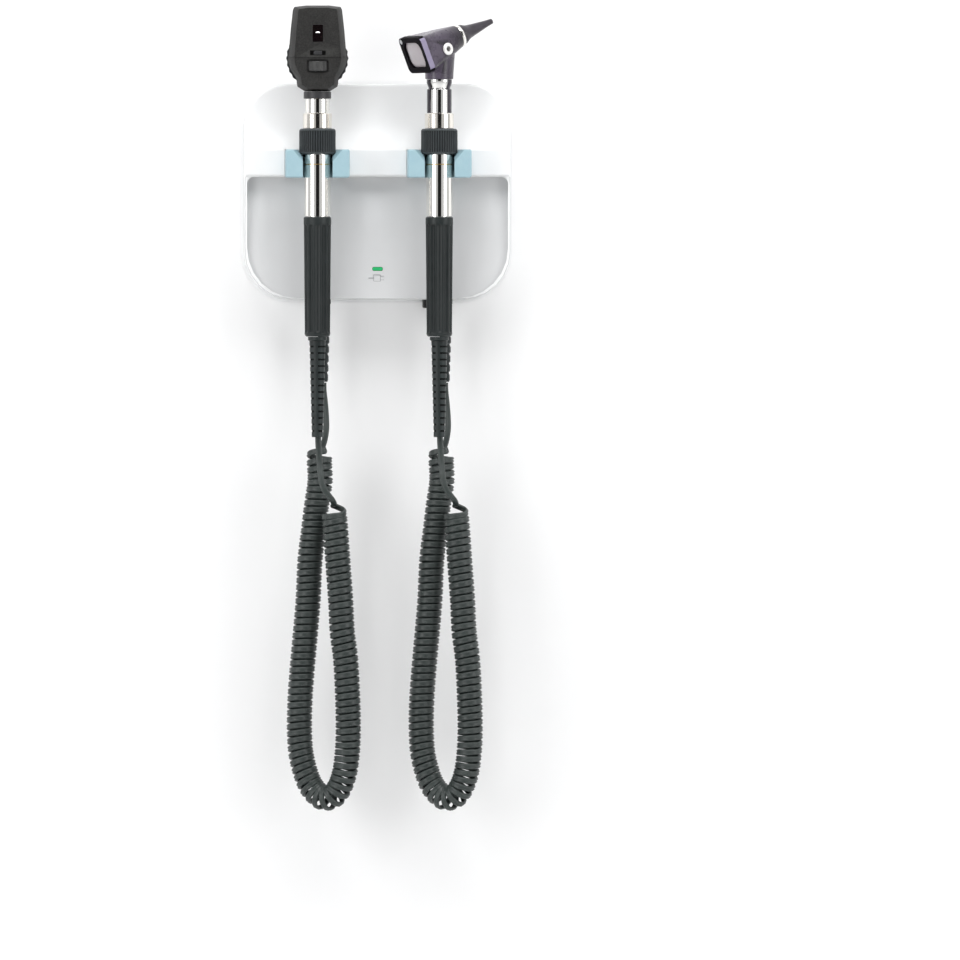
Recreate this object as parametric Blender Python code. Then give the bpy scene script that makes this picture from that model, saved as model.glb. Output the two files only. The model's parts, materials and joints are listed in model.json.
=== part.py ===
"""Wall-mounted diagnostic set: an otoscope and an ophthalmoscope on corded handles.

Units are metres, +Z is up, the wall is the plane Y = 0 and the set faces -Y. The origin is the
middle of the back plate's wall face. Every object is one separate piece of the real product.
"""

import math

import bmesh
import bpy
from mathutils import Euler, Vector

MM = 0.001
GAP = 0.3 * MM  # clearance between pieces that touch
PASS = 1.0 * MM  # how far a cutter runs past the face that it opens

# Wall unit
UNIT_WIDTH = 238.5 * MM
UNIT_HEIGHT = 194.5 * MM
UNIT_TOP_RADIUS = 40 * MM
UNIT_BOTTOM_RADIUS = 44 * MM
PLATE_THICKNESS = 4 * MM
PLATE_RIM = 2.5 * MM  # the plate shows this wide all round the cover
KEYHOLE_RADIUS = 4 * MM
KEYHOLE_ACROSS = 92 * MM  # from the middle to each keyhole
KEYHOLE_LEVEL = UNIT_HEIGHT / 2 - 42.2 * MM
KEYSLOT_HALF_WIDTH = 2.1 * MM
KEYSLOT_RUN = 9 * MM
COVER_WALL = 3 * MM
COVER_EDGE_RADIUS = 3 * MM
COVER_TOP_DEPTH = 34 * MM
BROW_DEPTH = 51.5 * MM
BROW_TOP = 38 * MM  # height above the origin
BROW_BOTTOM = 12.8 * MM
BROW_ROUND = 2.5 * MM
PANEL_RIM_DEPTH = 46 * MM
PANEL_TOP_DEPTH = 37 * MM
PANEL_BOTTOM_DEPTH = 44.5 * MM
PANEL_RIM = 2 * MM  # width of the lip beside the recessed panel
PANEL_LOWER_RIM = 1 * MM  # and below it
PANEL_TOP_RADIUS = 6 * MM
LIGHT_WIDTH = 8.8 * MM
LIGHT_HEIGHT = 3 * MM
LIGHT_LEVEL = -UNIT_HEIGHT / 2 + 29.2 * MM
INLET_MIDDLE = 42 * MM
INLET_WIDTH = 22 * MM
INLET_FRONT = 22 * MM
INLET_DROP = 7.5 * MM  # below the cover's lower edge
INLET_MOUTH_WIDTH = 15 * MM

# Supply inside the unit
CORE_HALF_WIDTH = 38 * MM
CORE_DEPTH = 26 * MM
CORE_LOW = -UNIT_HEIGHT / 2 + 35.2 * MM
CORE_TOP = CORE_LOW + 56 * MM
LIMB_HALF_WIDTH = 8.4 * MM  # of the core's middle limb
YOKE = 9.6 * MM  # width of the core round its windows
WINDING_BRIDGE = 2.6 * MM  # how far the winding bulges out of the core's windows
BOARD_DEPTH = 31 * MM
BOARD_THICKNESS = 1.6 * MM
BOARD_LEFT = -30 * MM
BOARD_RIGHT = 24 * MM
BOARD_LOW = -UNIT_HEIGHT / 2 + 13.2 * MM
BOARD_TOP = BOARD_LOW + 20 * MM

# Cradles
AXIS_SPACING = 107 * MM
AXIS_DEPTH = 69 * MM  # from the wall to the handles' axes
CRADLE_WIDTH = 56 * MM
CRADLE_HEIGHT = 24.6 * MM
CRADLE_REACH = 13 * MM  # in front of the axes
CRADLE_TONGUE = 7 * MM  # how far it runs into the cover
CRADLE_BEVEL = 1.2 * MM
CRADLE_FLARE_WIDTH = 45 * MM
CRADLE_FLARE_HEIGHT = 12 * MM
SLOT_CLEARANCE = 1.45 * MM  # round the barrel

# Handle, as heights above the origin
COLLAR_BOTTOM = 32.4 * MM
COLLAR_HEIGHT = 22.3 * MM
COLLAR_RADIUS = 16 * MM
COLLAR_RIBS = 24
COLLAR_RIB_DEPTH = 0.7 * MM
COLLAR_CHAMFER = 1.2 * MM
COLLAR_FLOOR = 3 * MM  # under the pocket for the dimmer's core
COLLAR_SEAT_DEPTH = 4.1 * MM  # how deep the collar sits in its cradle
NECK_RADIUS = 12.75 * MM
NECK_HEIGHT = 13.2 * MM
HEAD_BASE = COLLAR_BOTTOM + COLLAR_HEIGHT + NECK_HEIGHT  # both heads stand here
BARREL_RADIUS = 11.6 * MM
BARREL_LENGTH = 54.5 * MM
BARREL_BORE_RADIUS = 7.6 * MM
STEM_RADIUS = 9.3 * MM
BARREL_GROOVE_DROP = 8.2 * MM
BARREL_GROOVE_WIDTH = 0.9 * MM
BARREL_GROOVE_DEPTH = 0.5 * MM
CORE_THICKNESS = 2.6 * MM
CORE_HEIGHT = 14 * MM
GRIP_TOP_RADIUS = 12.1 * MM
GRIP_BOTTOM_RADIUS = 11.3 * MM
GRIP_LENGTH = 105.2 * MM
GRIP_FLUTES = 12
GRIP_FLUTE_DEPTH = 0.9 * MM
GRIP_RIM = 6.5 * MM
RELIEF_SHOULDER_RADIUS = 8.35 * MM
RELIEF_TOP_RADIUS = 7.1 * MM
RELIEF_END_RADIUS = 5 * MM
RELIEF_LENGTH = 88 * MM
RELIEF_ROWS = 14
RELIEF_PITCH = 5.7 * MM
RELIEF_SLOT = 1.7 * MM
RELIEF_WEB = 3.7 * MM
RELIEF_TURN = -15.0  # degrees that the web is turned from the front

# Bayonet between handle and head
SPIGOT_RADIUS = 8.2 * MM
SPIGOT_HEIGHT = 11.5 * MM
SPIGOT_BORE_RADIUS = 3.6 * MM
LUG_REACH = 1.3 * MM
LUG_WIDTH = 3.4 * MM
LUG_HEIGHT = 2.2 * MM
LUG_RISE = 5 * MM  # above the neck
PIN_HEAD_HEIGHT = 1.6 * MM
PIN_SHOULDER_DROP = 3 * MM  # below the spigot's top
PIN_RADIUS = 1.4 * MM
PIN_HEAD_RADIUS = 2.6 * MM
SPRING_WIRE = 0.35 * MM
SPRING_TURNS = 3
PIN_STAND = 2.2 * MM  # above the spigot
CONTACT_THICKNESS = 1.6 * MM
SOCKET_RADIUS = 10.9 * MM
FIT = 0.4 * MM  # running clearance of the bayonet

# Otoscope head, in a frame along its viewing axis
HEAD_YAW = 26.0  # degrees from +X towards the wall
HEAD_RISE = 22.0  # degrees above level
VIEW_HEIGHT = HEAD_BASE + 60.7 * MM  # where the viewing axis crosses the handle's axis
OTO_SOCKET_HEIGHT = 29.5 * MM
OTO_NECK_RADIUS = 12.3 * MM
OTO_NECK_TOP_RADIUS = 13.8 * MM
OTO_NECK_HEIGHT = 23 * MM
OTO_BODY_WIDTH = 40 * MM
OTO_BODY_HEIGHT = 31.5 * MM
OTO_BODY_BACK = -20.9 * MM
OTO_BODY_FRONT = 19 * MM
OTO_BODY_CORNER = 4 * MM
OTO_WAIST_SHARE = 0.62
OTO_FRONT_RADIUS = 10.2 * MM
OTO_WALL = 2.2 * MM
FRAME_WIDTH = 41.5 * MM
FRAME_HEIGHT = 33 * MM
FRAME_THICKNESS = 5 * MM
FRAME_CORNER = 5 * MM
LENS_WIDTH = 31 * MM
LENS_HEIGHT = 24 * MM
LENS_CORNER = 7.5 * MM
LENS_LEDGE = 1.2 * MM
LENS_CENTRE_THICKNESS = 3.4 * MM
PIVOT_ACROSS = -17.2 * MM
PIVOT_UP = 13 * MM
PIVOT_RADIUS = 1.5 * MM
PIVOT_HEAD_RADIUS = 2.3 * MM
PORT_ALONG = -1.9 * MM
PORT_UP = -3.6 * MM
PORT_RADIUS = 5.4 * MM
PORT_HOLE_RADIUS = 2.3 * MM
PORT_STAND = 1.6 * MM
RING_THICKNESS = 3 * MM
RING_RADIUS = 9.9 * MM
HOLDER_RADIUS = 6.8 * MM
HOLDER_TIP_RADIUS = 3.1 * MM
HOLDER_LENGTH = 17 * MM
HOLDER_WALL = 1.4 * MM
SPECULUM_RADIUS = 8.9 * MM
SPECULUM_TIP_RADIUS = 2.3 * MM
SPECULUM_LENGTH = 33.5 * MM
SPECULUM_WALL = 0.8 * MM
LAMP_RADIUS = 3.4 * MM
LAMP_LENGTH = 20 * MM
GUIDE_RADIUS = 1.5 * MM

# Ophthalmoscope head
OPH_SOCKET_HEIGHT = 12.4 * MM
OPH_COLLAR_RADIUS = 12.1 * MM
OPH_COLLAR_HEIGHT = 6.1 * MM
OPH_COLLAR_BORE_RADIUS = 6.8 * MM
OPH_LAMP_FORWARD = 2.5 * MM  # of the handle's axis, clear of the lens wheel
OPH_FRONT_DEPTH = 14 * MM  # in front of the handle's axis
OPH_PARTING = 4.5 * MM  # behind it
OPH_BACK_DEPTH = 13 * MM
OPH_FACE_SHARE = 0.8
OPH_HALF_OUTLINE = [  # half width and height above the head's base, in millimetres
    (11.0, 19.7),
    (17.4, 23.7),
    (18.0, 26.1),
    (18.2, 30.6),
    (23.0, 38.1),
    (25.3, 44.1),
    (25.7, 49.1),
    (24.7, 58.1),
    (23.5, 73.1),
    (21.5, 91.1),
    (20.2, 93.7),
    (10.0, 94.9),
]
WHEEL_RADIUS = 27.4 * MM
WHEEL_THICKNESS = 3 * MM
WHEEL_LOBES = 28
WHEEL_LOBE_DEPTH = 0.9 * MM
WHEEL_HEIGHT = HEAD_BASE + 48.7 * MM
WHEEL_HUB_RADIUS = 3 * MM
WHEEL_LENS_RADIUS = 2.6 * MM
WHEEL_LENSES = 10
WINDOW_WIDTH = 8.6 * MM
WINDOW_HEIGHT = 14.4 * MM
WINDOW_DEPTH = 1.2 * MM
WINDOW_LEDGE = 1 * MM
WINDOW_LEVEL = HEAD_BASE + 70.4 * MM
SIGHT_RADIUS = 2.2 * MM
FILTER_WIDTH = 13.9 * MM
FILTER_HEIGHT = 4.2 * MM
FILTER_LEVEL = HEAD_BASE + 53.3 * MM
FILTER_DEPTH = 3 * MM
FILTER_TRAVEL = 3 * MM
DIAL_RADIUS = 9.6 * MM
DIAL_HEIGHT = 8.6 * MM
DIAL_LEVEL = HEAD_BASE + 41.6 * MM
DIAL_INSET = 5.5 * MM  # its axis lies this far behind the face
DIAL_RIBS = 18
DIAL_FRAME_WIDTH = 19.6 * MM
DIAL_FRAME_HEIGHT = 11.9 * MM

# Cords
CORD_RADIUS = 2.65 * MM
COIL_RADIUS = 11.6 * MM
GLAND_OFFSET = 6.3 * MM  # the wall end of a cord is this far right of its handle's axis
GLAND_DEPTH = 29 * MM
GLAND_RADIUS = 6.5 * MM
GLAND_END_RADIUS = 4.2 * MM
GLAND_LENGTH = 70 * MM
GLAND_RIBS = 8

SIDES = 20  # facets round a handle


# ---------------------------------------------------------------- making pieces


def finish_of(name, colour, roughness, metallic=0.0):
    """A plain surface finish, made once for each name."""
    finish = bpy.data.materials.get(name)
    if finish is None:
        finish = bpy.data.materials.new(name)
        finish.use_nodes = True
        shader = finish.node_tree.nodes["Principled BSDF"]
        shader.inputs["Base Color"].default_value = (*colour, 1)
        shader.inputs["Roughness"].default_value = roughness
        shader.inputs["Metallic"].default_value = metallic
    return finish


def white_plastic():
    return finish_of("white plastic", (0.86, 0.87, 0.87), 0.4)


def blue_plastic():
    return finish_of("pale blue plastic", (0.38, 0.60, 0.72), 0.4)


def dark_rubber():
    return finish_of("dark rubber", (0.045, 0.055, 0.055), 0.6)


def black_plastic():
    return finish_of("black plastic", (0.012, 0.010, 0.014), 0.2)


def grey_plastic():
    return finish_of("speckled grey plastic", (0.05, 0.055, 0.06), 0.55)


def chrome():
    return finish_of("chrome", (0.90, 0.89, 0.86), 0.1, 1.0)


def nickel():
    return finish_of("nickel", (0.80, 0.77, 0.72), 0.25, 1.0)


def brass():
    return finish_of("brass", (0.75, 0.58, 0.28), 0.3, 1.0)


def steel():
    return finish_of("steel", (0.45, 0.46, 0.48), 0.4, 1.0)


def copper():
    return finish_of("copper", (0.70, 0.32, 0.18), 0.35, 1.0)


def glass():
    return finish_of("glass", (0.80, 0.83, 0.84), 0.05)


def ceramic():
    return finish_of("ceramic", (0.62, 0.58, 0.50), 0.6)


def board_green():
    return finish_of("circuit board", (0.03, 0.20, 0.09), 0.5)


def lit_green():
    return finish_of("green lens", (0.02, 0.35, 0.08), 0.3)


def piece(name, shape, finish, parent=None, at=(0, 0, 0), turn=(0, 0, 0)):
    """Turns a bmesh into a named object at a place under its parent."""
    bmesh.ops.recalc_face_normals(shape, faces=shape.faces)
    mesh = bpy.data.meshes.new(name)
    shape.to_mesh(mesh)
    shape.free()
    mesh.shade_smooth()
    mesh.set_sharp_from_angle(angle=math.radians(32))
    mesh.materials.append(finish)
    made = bpy.data.objects.new(name, mesh)
    bpy.context.scene.collection.objects.link(made)
    made.parent = parent
    made.location = at
    made.rotation_euler = turn
    return made


def axis_at(name, at, turn=(0, 0, 0), parent=None):
    """An empty that carries the pieces of one moving body."""
    carrier = bpy.data.objects.new(name, None)
    bpy.context.scene.collection.objects.link(carrier)
    carrier.parent = parent
    carrier.location = at
    carrier.rotation_euler = turn
    return carrier


def turned(name, outline, finish, sides=SIDES, **place):
    """Spins an outline of (radius, height) round Z. One that starts and ends on Z is solid."""
    shape = bmesh.new()
    points = [shape.verts.new((radius, 0, height)) for radius, height in outline]
    edges = [shape.edges.new(pair) for pair in zip(points, points[1:])]
    if outline[0][0] > 0:
        edges.append(shape.edges.new((points[-1], points[0])))
    bmesh.ops.spin(
        shape,
        geom=points + edges,
        cent=(0, 0, 0),
        axis=(0, 0, 1),
        angle=math.tau,
        steps=sides,
        use_merge=True,
    )
    bmesh.ops.remove_doubles(shape, verts=shape.verts, dist=0.001 * MM)
    return piece(name, shape, finish, **place)


def skinned(name, rings, finish, closed=False, **place):
    """Joins rings of points with quads. A closed one runs back to its first ring."""
    shape = bmesh.new()
    loops = [[shape.verts.new(point) for point in ring] for ring in rings]
    pairs = list(zip(loops, loops[1:]))
    if closed:
        pairs.append((loops[-1], loops[0]))
    for low, high in pairs:
        for here in range(len(low)):
            after = (here + 1) % len(low)
            shape.faces.new((low[here], low[after], high[after], high[here]))
    if not closed:
        shape.faces.new(loops[0])
        shape.faces.new(loops[-1])
    return piece(name, shape, finish, **place)


def prism(name, outline, start, end, finish, **place):
    """Runs an outline of (x, z) along Y from start to end."""
    rings = [[(x, y, z) for x, z in outline] for y in (start, end)]
    return skinned(name, rings, finish, **place)


def block(name, low, high, finish, **place):
    """A box between two corners."""
    outline = [(low[0], low[2]), (high[0], low[2]), (high[0], high[2]), (low[0], high[2])]
    return prism(name, outline, low[1], high[1], finish, **place)


def rod(name, radius, start, end, finish, sides=16, **place):
    """A plain cylinder along Z."""
    outline = [(0, start), (radius, start), (radius, end), (0, end)]
    return turned(name, outline, finish, sides=sides, **place)


def rounded(width, height, radius, steps=4, middle=(0, 0)):
    """A rectangle with round corners, anticlockwise from its lower right corner."""
    points = []
    for quarter, (across, up) in enumerate(((1, -1), (1, 1), (-1, 1), (-1, -1))):
        for step in range(steps + 1):
            angle = math.radians(-90 + 90 * quarter + 90 * step / steps)
            points.append(
                (
                    middle[0] + across * (width / 2 - radius) + radius * math.cos(angle),
                    middle[1] + up * (height / 2 - radius) + radius * math.sin(angle),
                )
            )
    return points


def tube(name, points, radius, finish, resolution=3, **place):
    """A round tube with filled ends along a line of points."""
    curve = bpy.data.curves.new(name, "CURVE")
    curve.dimensions = "3D"
    curve.bevel_depth = radius
    curve.bevel_resolution = resolution
    curve.use_fill_caps = True
    line = curve.splines.new("POLY")
    line.points.add(len(points) - 1)
    for point, where in zip(line.points, points):
        point.co = (*where, 1)
    curve.materials.append(finish)
    made = bpy.data.objects.new(name, curve)
    bpy.context.scene.collection.objects.link(made)
    made.parent = place.get("parent")
    made.location = place.get("at", (0, 0, 0))
    return made


def smooth_line(route, spacing):
    """Points a set distance apart on a smooth curve through the route's points."""
    route = [Vector(point) for point in route]
    ends = [2 * route[0] - route[1], *route, 2 * route[-1] - route[-2]]
    fine = []
    for index in range(1, len(ends) - 2):
        before, start, end, after = ends[index - 1 : index + 3]
        for step in range(24):
            t = step / 24
            fine.append(
                0.5
                * (
                    2 * start
                    + (end - before) * t
                    + (2 * before - 5 * start + 4 * end - after) * t**2
                    + (3 * start - before - 3 * end + after) * t**3
                )
            )
    fine.append(route[-1])
    length = sum((b - a).length for a, b in zip(fine, fine[1:]))
    count = max(2, round(length / spacing))
    points, walked, target = [fine[0]], 0.0, length / count
    for a, b in zip(fine, fine[1:]):
        step = (b - a).length
        while walked + step >= target - 1e-9 and len(points) < count:
            points.append(a.lerp(b, (target - walked) / step))
            target += length / count
        walked += step
    return [*points, fine[-1]]


def combine(target, operation, tools):
    for tool in tools:
        change = target.modifiers.new(f"{operation.lower()} {tool.name}", "BOOLEAN")
        change.operation = operation
        change.solver = "EXACT"
        change.object = tool
        tool.hide_render = True
        tool.display_type = "WIRE"
    return target


def cut(target, *tools):
    return combine(target, "DIFFERENCE", tools)


def fuse(target, *tools):
    return combine(target, "UNION", tools)


def soften(target, width, segments=2, angle=40):
    bevel = target.modifiers.new("bevel", "BEVEL")
    bevel.width = width
    bevel.segments = segments
    bevel.limit_method = "ANGLE"
    bevel.angle_limit = math.radians(angle)
    return target


def ribbed(radius, count, depth, per_rib=2, shape=1.0):
    """Points round a circle with grooves between ribs, as (x, y)."""
    points = []
    for index in range(count * per_rib):
        angle = math.tau * index / (count * per_rib)
        wave = 0.5 - 0.5 * math.cos(count * angle)
        reach = radius - depth * wave**shape
        points.append((reach * math.cos(angle), reach * math.sin(angle)))
    return points


# ---------------------------------------------------------------- wall unit


def cover_face(height):
    """The depth of the cover's face at a height, without the lower panel's recess."""
    if height >= BROW_TOP:
        top = UNIT_HEIGHT / 2 - PLATE_RIM
        share = (top - height) / (top - BROW_TOP)
        return COVER_TOP_DEPTH + (BROW_DEPTH - BROW_ROUND - COVER_TOP_DEPTH) * share**2.2
    if height > BROW_TOP - BROW_ROUND:
        return BROW_DEPTH - BROW_ROUND * (1 - (BROW_TOP - height) / BROW_ROUND) ** 2
    if height >= BROW_BOTTOM + BROW_ROUND:
        return BROW_DEPTH
    if height >= BROW_BOTTOM:
        return BROW_DEPTH - BROW_ROUND * (1 - (height - BROW_BOTTOM) / BROW_ROUND) ** 2
    return PANEL_RIM_DEPTH


def panel_depth(height):
    """The depth of the recessed lower panel, which comes forward towards its lower edge."""
    bottom = -UNIT_HEIGHT / 2 + PLATE_RIM
    share = (BROW_BOTTOM - height) / (BROW_BOTTOM - bottom)
    return PANEL_TOP_DEPTH + (PANEL_BOTTOM_DEPTH - PANEL_TOP_DEPTH) * share


def inner_face(height):
    outer = cover_face(height) if height >= BROW_BOTTOM else panel_depth(height)
    above = BROW_BOTTOM <= height < BROW_BOTTOM + 2 * COVER_WALL
    return (panel_depth(BROW_BOTTOM) if above else outer) - COVER_WALL


def half_outline(inset, levels):
    """Right-hand points of the unit's outline, top to bottom, moved in by inset.

    Each point is (x, z), on the corner arcs and at each of the levels on the straight side.
    """
    half_width, half_height = UNIT_WIDTH / 2, UNIT_HEIGHT / 2
    points = []
    for radius, side, span in (
        (UNIT_TOP_RADIUS, 1, (90, 0)),
        (UNIT_BOTTOM_RADIUS, -1, (0, -90)),
    ):
        centre = (half_width - radius, side * (half_height - radius))
        for step in range(7):
            angle = math.radians(span[0] + (span[1] - span[0]) * step / 6)
            reach = radius - inset
            points.append(
                (centre[0] + reach * math.cos(angle), centre[1] + reach * math.sin(angle))
            )
        if side == 1:
            points += [(half_width - inset, level) for level in levels]
    return points


def stepped(name, face, insets, back, levels, finish):
    """A closed body with the unit's outline, whose front follows face(height).

    insets is a list of (inset, drop): how far each ring lies in from the unit's edge, and how
    far it lies behind the face.
    """
    shape = bmesh.new()
    rings = []
    for inset, drop in [(insets[0][0], None), *insets]:
        right = half_outline(inset, levels)
        ring = [
            shape.verts.new((x, back if drop is None else -face(z) + drop, z)) for x, z in right
        ]
        ring += [
            shape.verts.new((-x, back if drop is None else -face(z) + drop, z))
            for x, z in reversed(right)
        ]
        rings.append(ring)
    count = len(rings[0])
    for low, high in zip(rings, rings[1:]):
        for here in range(count):
            after = (here + 1) % count
            shape.faces.new((low[here], low[after], high[after], high[here]))
    for ring in (rings[0], rings[-1]):
        for here in range(count // 2 - 1):
            shape.faces.new((ring[here], ring[here + 1], ring[-here - 2], ring[-here - 1]))
    return piece(name, shape, finish)


def brow_levels(near_edges):
    """Heights on the straight side where the face bends."""
    start = UNIT_HEIGHT / 2 - UNIT_TOP_RADIUS
    slope = [start + (BROW_TOP - start) * share for share in (0.35, 0.7)]
    return [*slope, *near_edges]


def make_cover():
    top, low = BROW_TOP, BROW_BOTTOM
    outer_levels = brow_levels(
        [
            top,
            top - BROW_ROUND / 2,
            top - BROW_ROUND,
            low + BROW_ROUND,
            low + BROW_ROUND / 2,
            low,
            low - 0.02 * MM,
        ]
    )
    edge = COVER_EDGE_RADIUS
    rings = [
        (PLATE_RIM + edge * (1 - math.cos(angle)), edge * (1 - math.sin(angle)))
        for angle in (0, math.radians(45), math.radians(90))
    ]
    back = -(PLATE_THICKNESS + GAP)
    cover = stepped("front_cover", cover_face, rings, back, outer_levels, white_plastic())

    bottom = -UNIT_HEIGHT / 2 + PLATE_RIM + PANEL_LOWER_RIM
    width = UNIT_WIDTH - 2 * (PLATE_RIM + PANEL_RIM)
    corner = UNIT_BOTTOM_RADIUS
    outline = []
    for radius, side, start in (
        (PANEL_TOP_RADIUS, 1, 0),
        (PANEL_TOP_RADIUS, 1, 90),
        (corner, -1, 180),
        (corner, -1, 270),
    ):
        right = start in (0, 270)
        x = (1 if right else -1) * (width / 2 - radius)
        z = BROW_BOTTOM - radius if side == 1 else bottom + radius
        for step in range(7):
            angle = math.radians(start + 15 * step)
            outline.append((x + radius * math.cos(angle), z + radius * math.sin(angle)))
    recess = skinned(
        "panel_recess_cutter",
        [
            [(x, -panel_depth(z), z) for x, z in outline],
            [(x, -PANEL_RIM_DEPTH - 10 * PASS, z) for x, z in outline],
        ],
        white_plastic(),
    )
    # Below the brow only: its underside ends the recess at the top.
    inside = stepped(
        "cover_inside_cutter",
        inner_face,
        [(PLATE_RIM + COVER_WALL, 0)],
        0,
        brow_levels(
            [
                top,
                top - BROW_ROUND,
                low + 2 * COVER_WALL + 0.02 * MM,
                low + 2 * COVER_WALL - 0.02 * MM,
                low,
            ]
        ),
        white_plastic(),
    )
    cut(cover, recess, inside)
    pockets = [
        block(
            f"{side}_pocket_cutter",
            (x - CRADLE_WIDTH / 2 - GAP, -BROW_DEPTH - PASS, cradle_bottom() - GAP),
            (x + CRADLE_WIDTH / 2 + GAP, -AXIS_DEPTH + 30 * MM, cradle_top() + GAP),
            white_plastic(),
        )
        for side, x in axes()
    ]
    light = prism(
        "light_hole_cutter",
        rounded(
            LIGHT_WIDTH + 2 * GAP,
            LIGHT_HEIGHT + 2 * GAP,
            LIGHT_HEIGHT / 2,
            middle=(0, LIGHT_LEVEL),
        ),
        -PANEL_RIM_DEPTH,
        -BOARD_DEPTH,
        white_plastic(),
    )
    inlet = block(
        "inlet_notch_cutter",
        (INLET_MIDDLE - INLET_WIDTH / 2 - GAP, -INLET_FRONT - GAP, -UNIT_HEIGHT),
        (INLET_MIDDLE + INLET_WIDTH / 2 + GAP, 0, -UNIT_HEIGHT / 2 + 30 * MM),
        white_plastic(),
    )
    glands = [
        rod(
            f"{side}_gland_hole_cutter",
            GLAND_RADIUS + GAP,
            -UNIT_HEIGHT,
            -UNIT_HEIGHT / 2 + 12 * MM,
            white_plastic(),
            sides=20,
            at=(x + GLAND_OFFSET, -GLAND_DEPTH, 0),
        )
        for side, x in axes()
    ]
    return cut(cover, *pockets, light, inlet, *glands)


def axes():
    """Each instrument's name and the X of its handle's axis."""
    return (("ophthalmoscope", -AXIS_SPACING / 2), ("otoscope", AXIS_SPACING / 2))


def cradle_top():
    return COLLAR_BOTTOM + COLLAR_SEAT_DEPTH


def cradle_bottom():
    return cradle_top() - CRADLE_HEIGHT


def make_back_plate():
    """A plate with the unit's outline, four keyholes and a notch for the inlet."""
    right = half_outline(0, [])
    outline = right + [(-x, z) for x, z in reversed(right)]
    plate = prism("back_plate", outline, 0, -PLATE_THICKNESS, white_plastic())
    for side, x in (("left", -KEYHOLE_ACROSS), ("right", KEYHOLE_ACROSS)):
        for end, level in (("upper", KEYHOLE_LEVEL), ("lower", -KEYHOLE_LEVEL)):
            head_hole = rod(
                f"{end}_{side}_keyhole_cutter",
                KEYHOLE_RADIUS,
                -PASS,
                PLATE_THICKNESS + PASS,
                white_plastic(),
                at=(x, 0, level),
                turn=(math.radians(90), 0, 0),
            )
            shank_slot = block(
                f"{end}_{side}_keyslot_cutter",
                (x - KEYSLOT_HALF_WIDTH, -PLATE_THICKNESS - PASS, level),
                (x + KEYSLOT_HALF_WIDTH, PASS, level + KEYSLOT_RUN),
                white_plastic(),
            )
            cut(plate, head_hole, shank_slot)
    notch = block(
        "plate_inlet_cutter",
        (INLET_MIDDLE - INLET_WIDTH / 2 - GAP, -PLATE_THICKNESS - PASS, -UNIT_HEIGHT),
        (INLET_MIDDLE + INLET_WIDTH / 2 + GAP, -PLATE_THICKNESS / 2, -UNIT_HEIGHT / 2 + 14 * MM),
        white_plastic(),
    )
    return cut(plate, notch)


def make_cradle(side, x):
    """A fork that the barrel slides into from the front, with a coned seat for the collar."""
    low, high = cradle_bottom(), cradle_top()
    front, back = -(AXIS_DEPTH + CRADLE_REACH), -(BROW_DEPTH - CRADLE_TONGUE)
    body = block(
        f"{side}_cradle",
        (-CRADLE_WIDTH / 2, front, low),
        (CRADLE_WIDTH / 2, back, high),
        blue_plastic(),
        at=(x, 0, 0),
    )
    soften(body, CRADLE_BEVEL)
    slot_radius = BARREL_RADIUS + SLOT_CLEARANCE
    steps = 12
    slot = [
        (
            slot_radius * math.cos(math.pi * step / steps),
            -AXIS_DEPTH + slot_radius * math.sin(math.pi * step / steps),
        )
        for step in range(steps + 1)
    ]
    slot += [(-slot_radius, front - PASS), (slot_radius, front - PASS)]
    channel = skinned(
        f"{side}_slot_cutter",
        [[(px, py, z) for px, py in slot] for z in (low - PASS, high + PASS)],
        blue_plastic(),
        at=(x, 0, 0),
    )
    rim = COLLAR_RADIUS - COLLAR_CHAMFER + GAP * math.sqrt(2)
    drop = rim - slot_radius + 0.5 * MM
    seat = turned(
        f"{side}_seat_cutter",
        [
            (0, COLLAR_BOTTOM - drop),
            (rim - drop, COLLAR_BOTTOM - drop),
            (rim + COLLAR_SEAT_DEPTH + PASS, high + PASS),
            (0, high + PASS),
        ],
        blue_plastic(),
        sides=32,
        at=(x, -AXIS_DEPTH, 0),
    )
    wide, narrow = CRADLE_FLARE_WIDTH / 2, slot_radius - 0.5 * MM
    slope = (wide - narrow) / CRADLE_FLARE_HEIGHT
    flare = skinned(
        f"{side}_flare_cutter",
        [
            [
                (-narrow, y, high - drop_here),
                (narrow, y, high - drop_here),
                (narrow + slope * (drop_here + PASS), y, high + PASS),
                (-narrow - slope * (drop_here + PASS), y, high + PASS),
            ]
            for y, drop_here in (
                (front - PASS, CRADLE_FLARE_HEIGHT),
                (-AXIS_DEPTH, COLLAR_SEAT_DEPTH),
            )
        ],
        blue_plastic(),
        at=(x, 0, 0),
    )
    return cut(body, channel, seat, flare)


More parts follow.
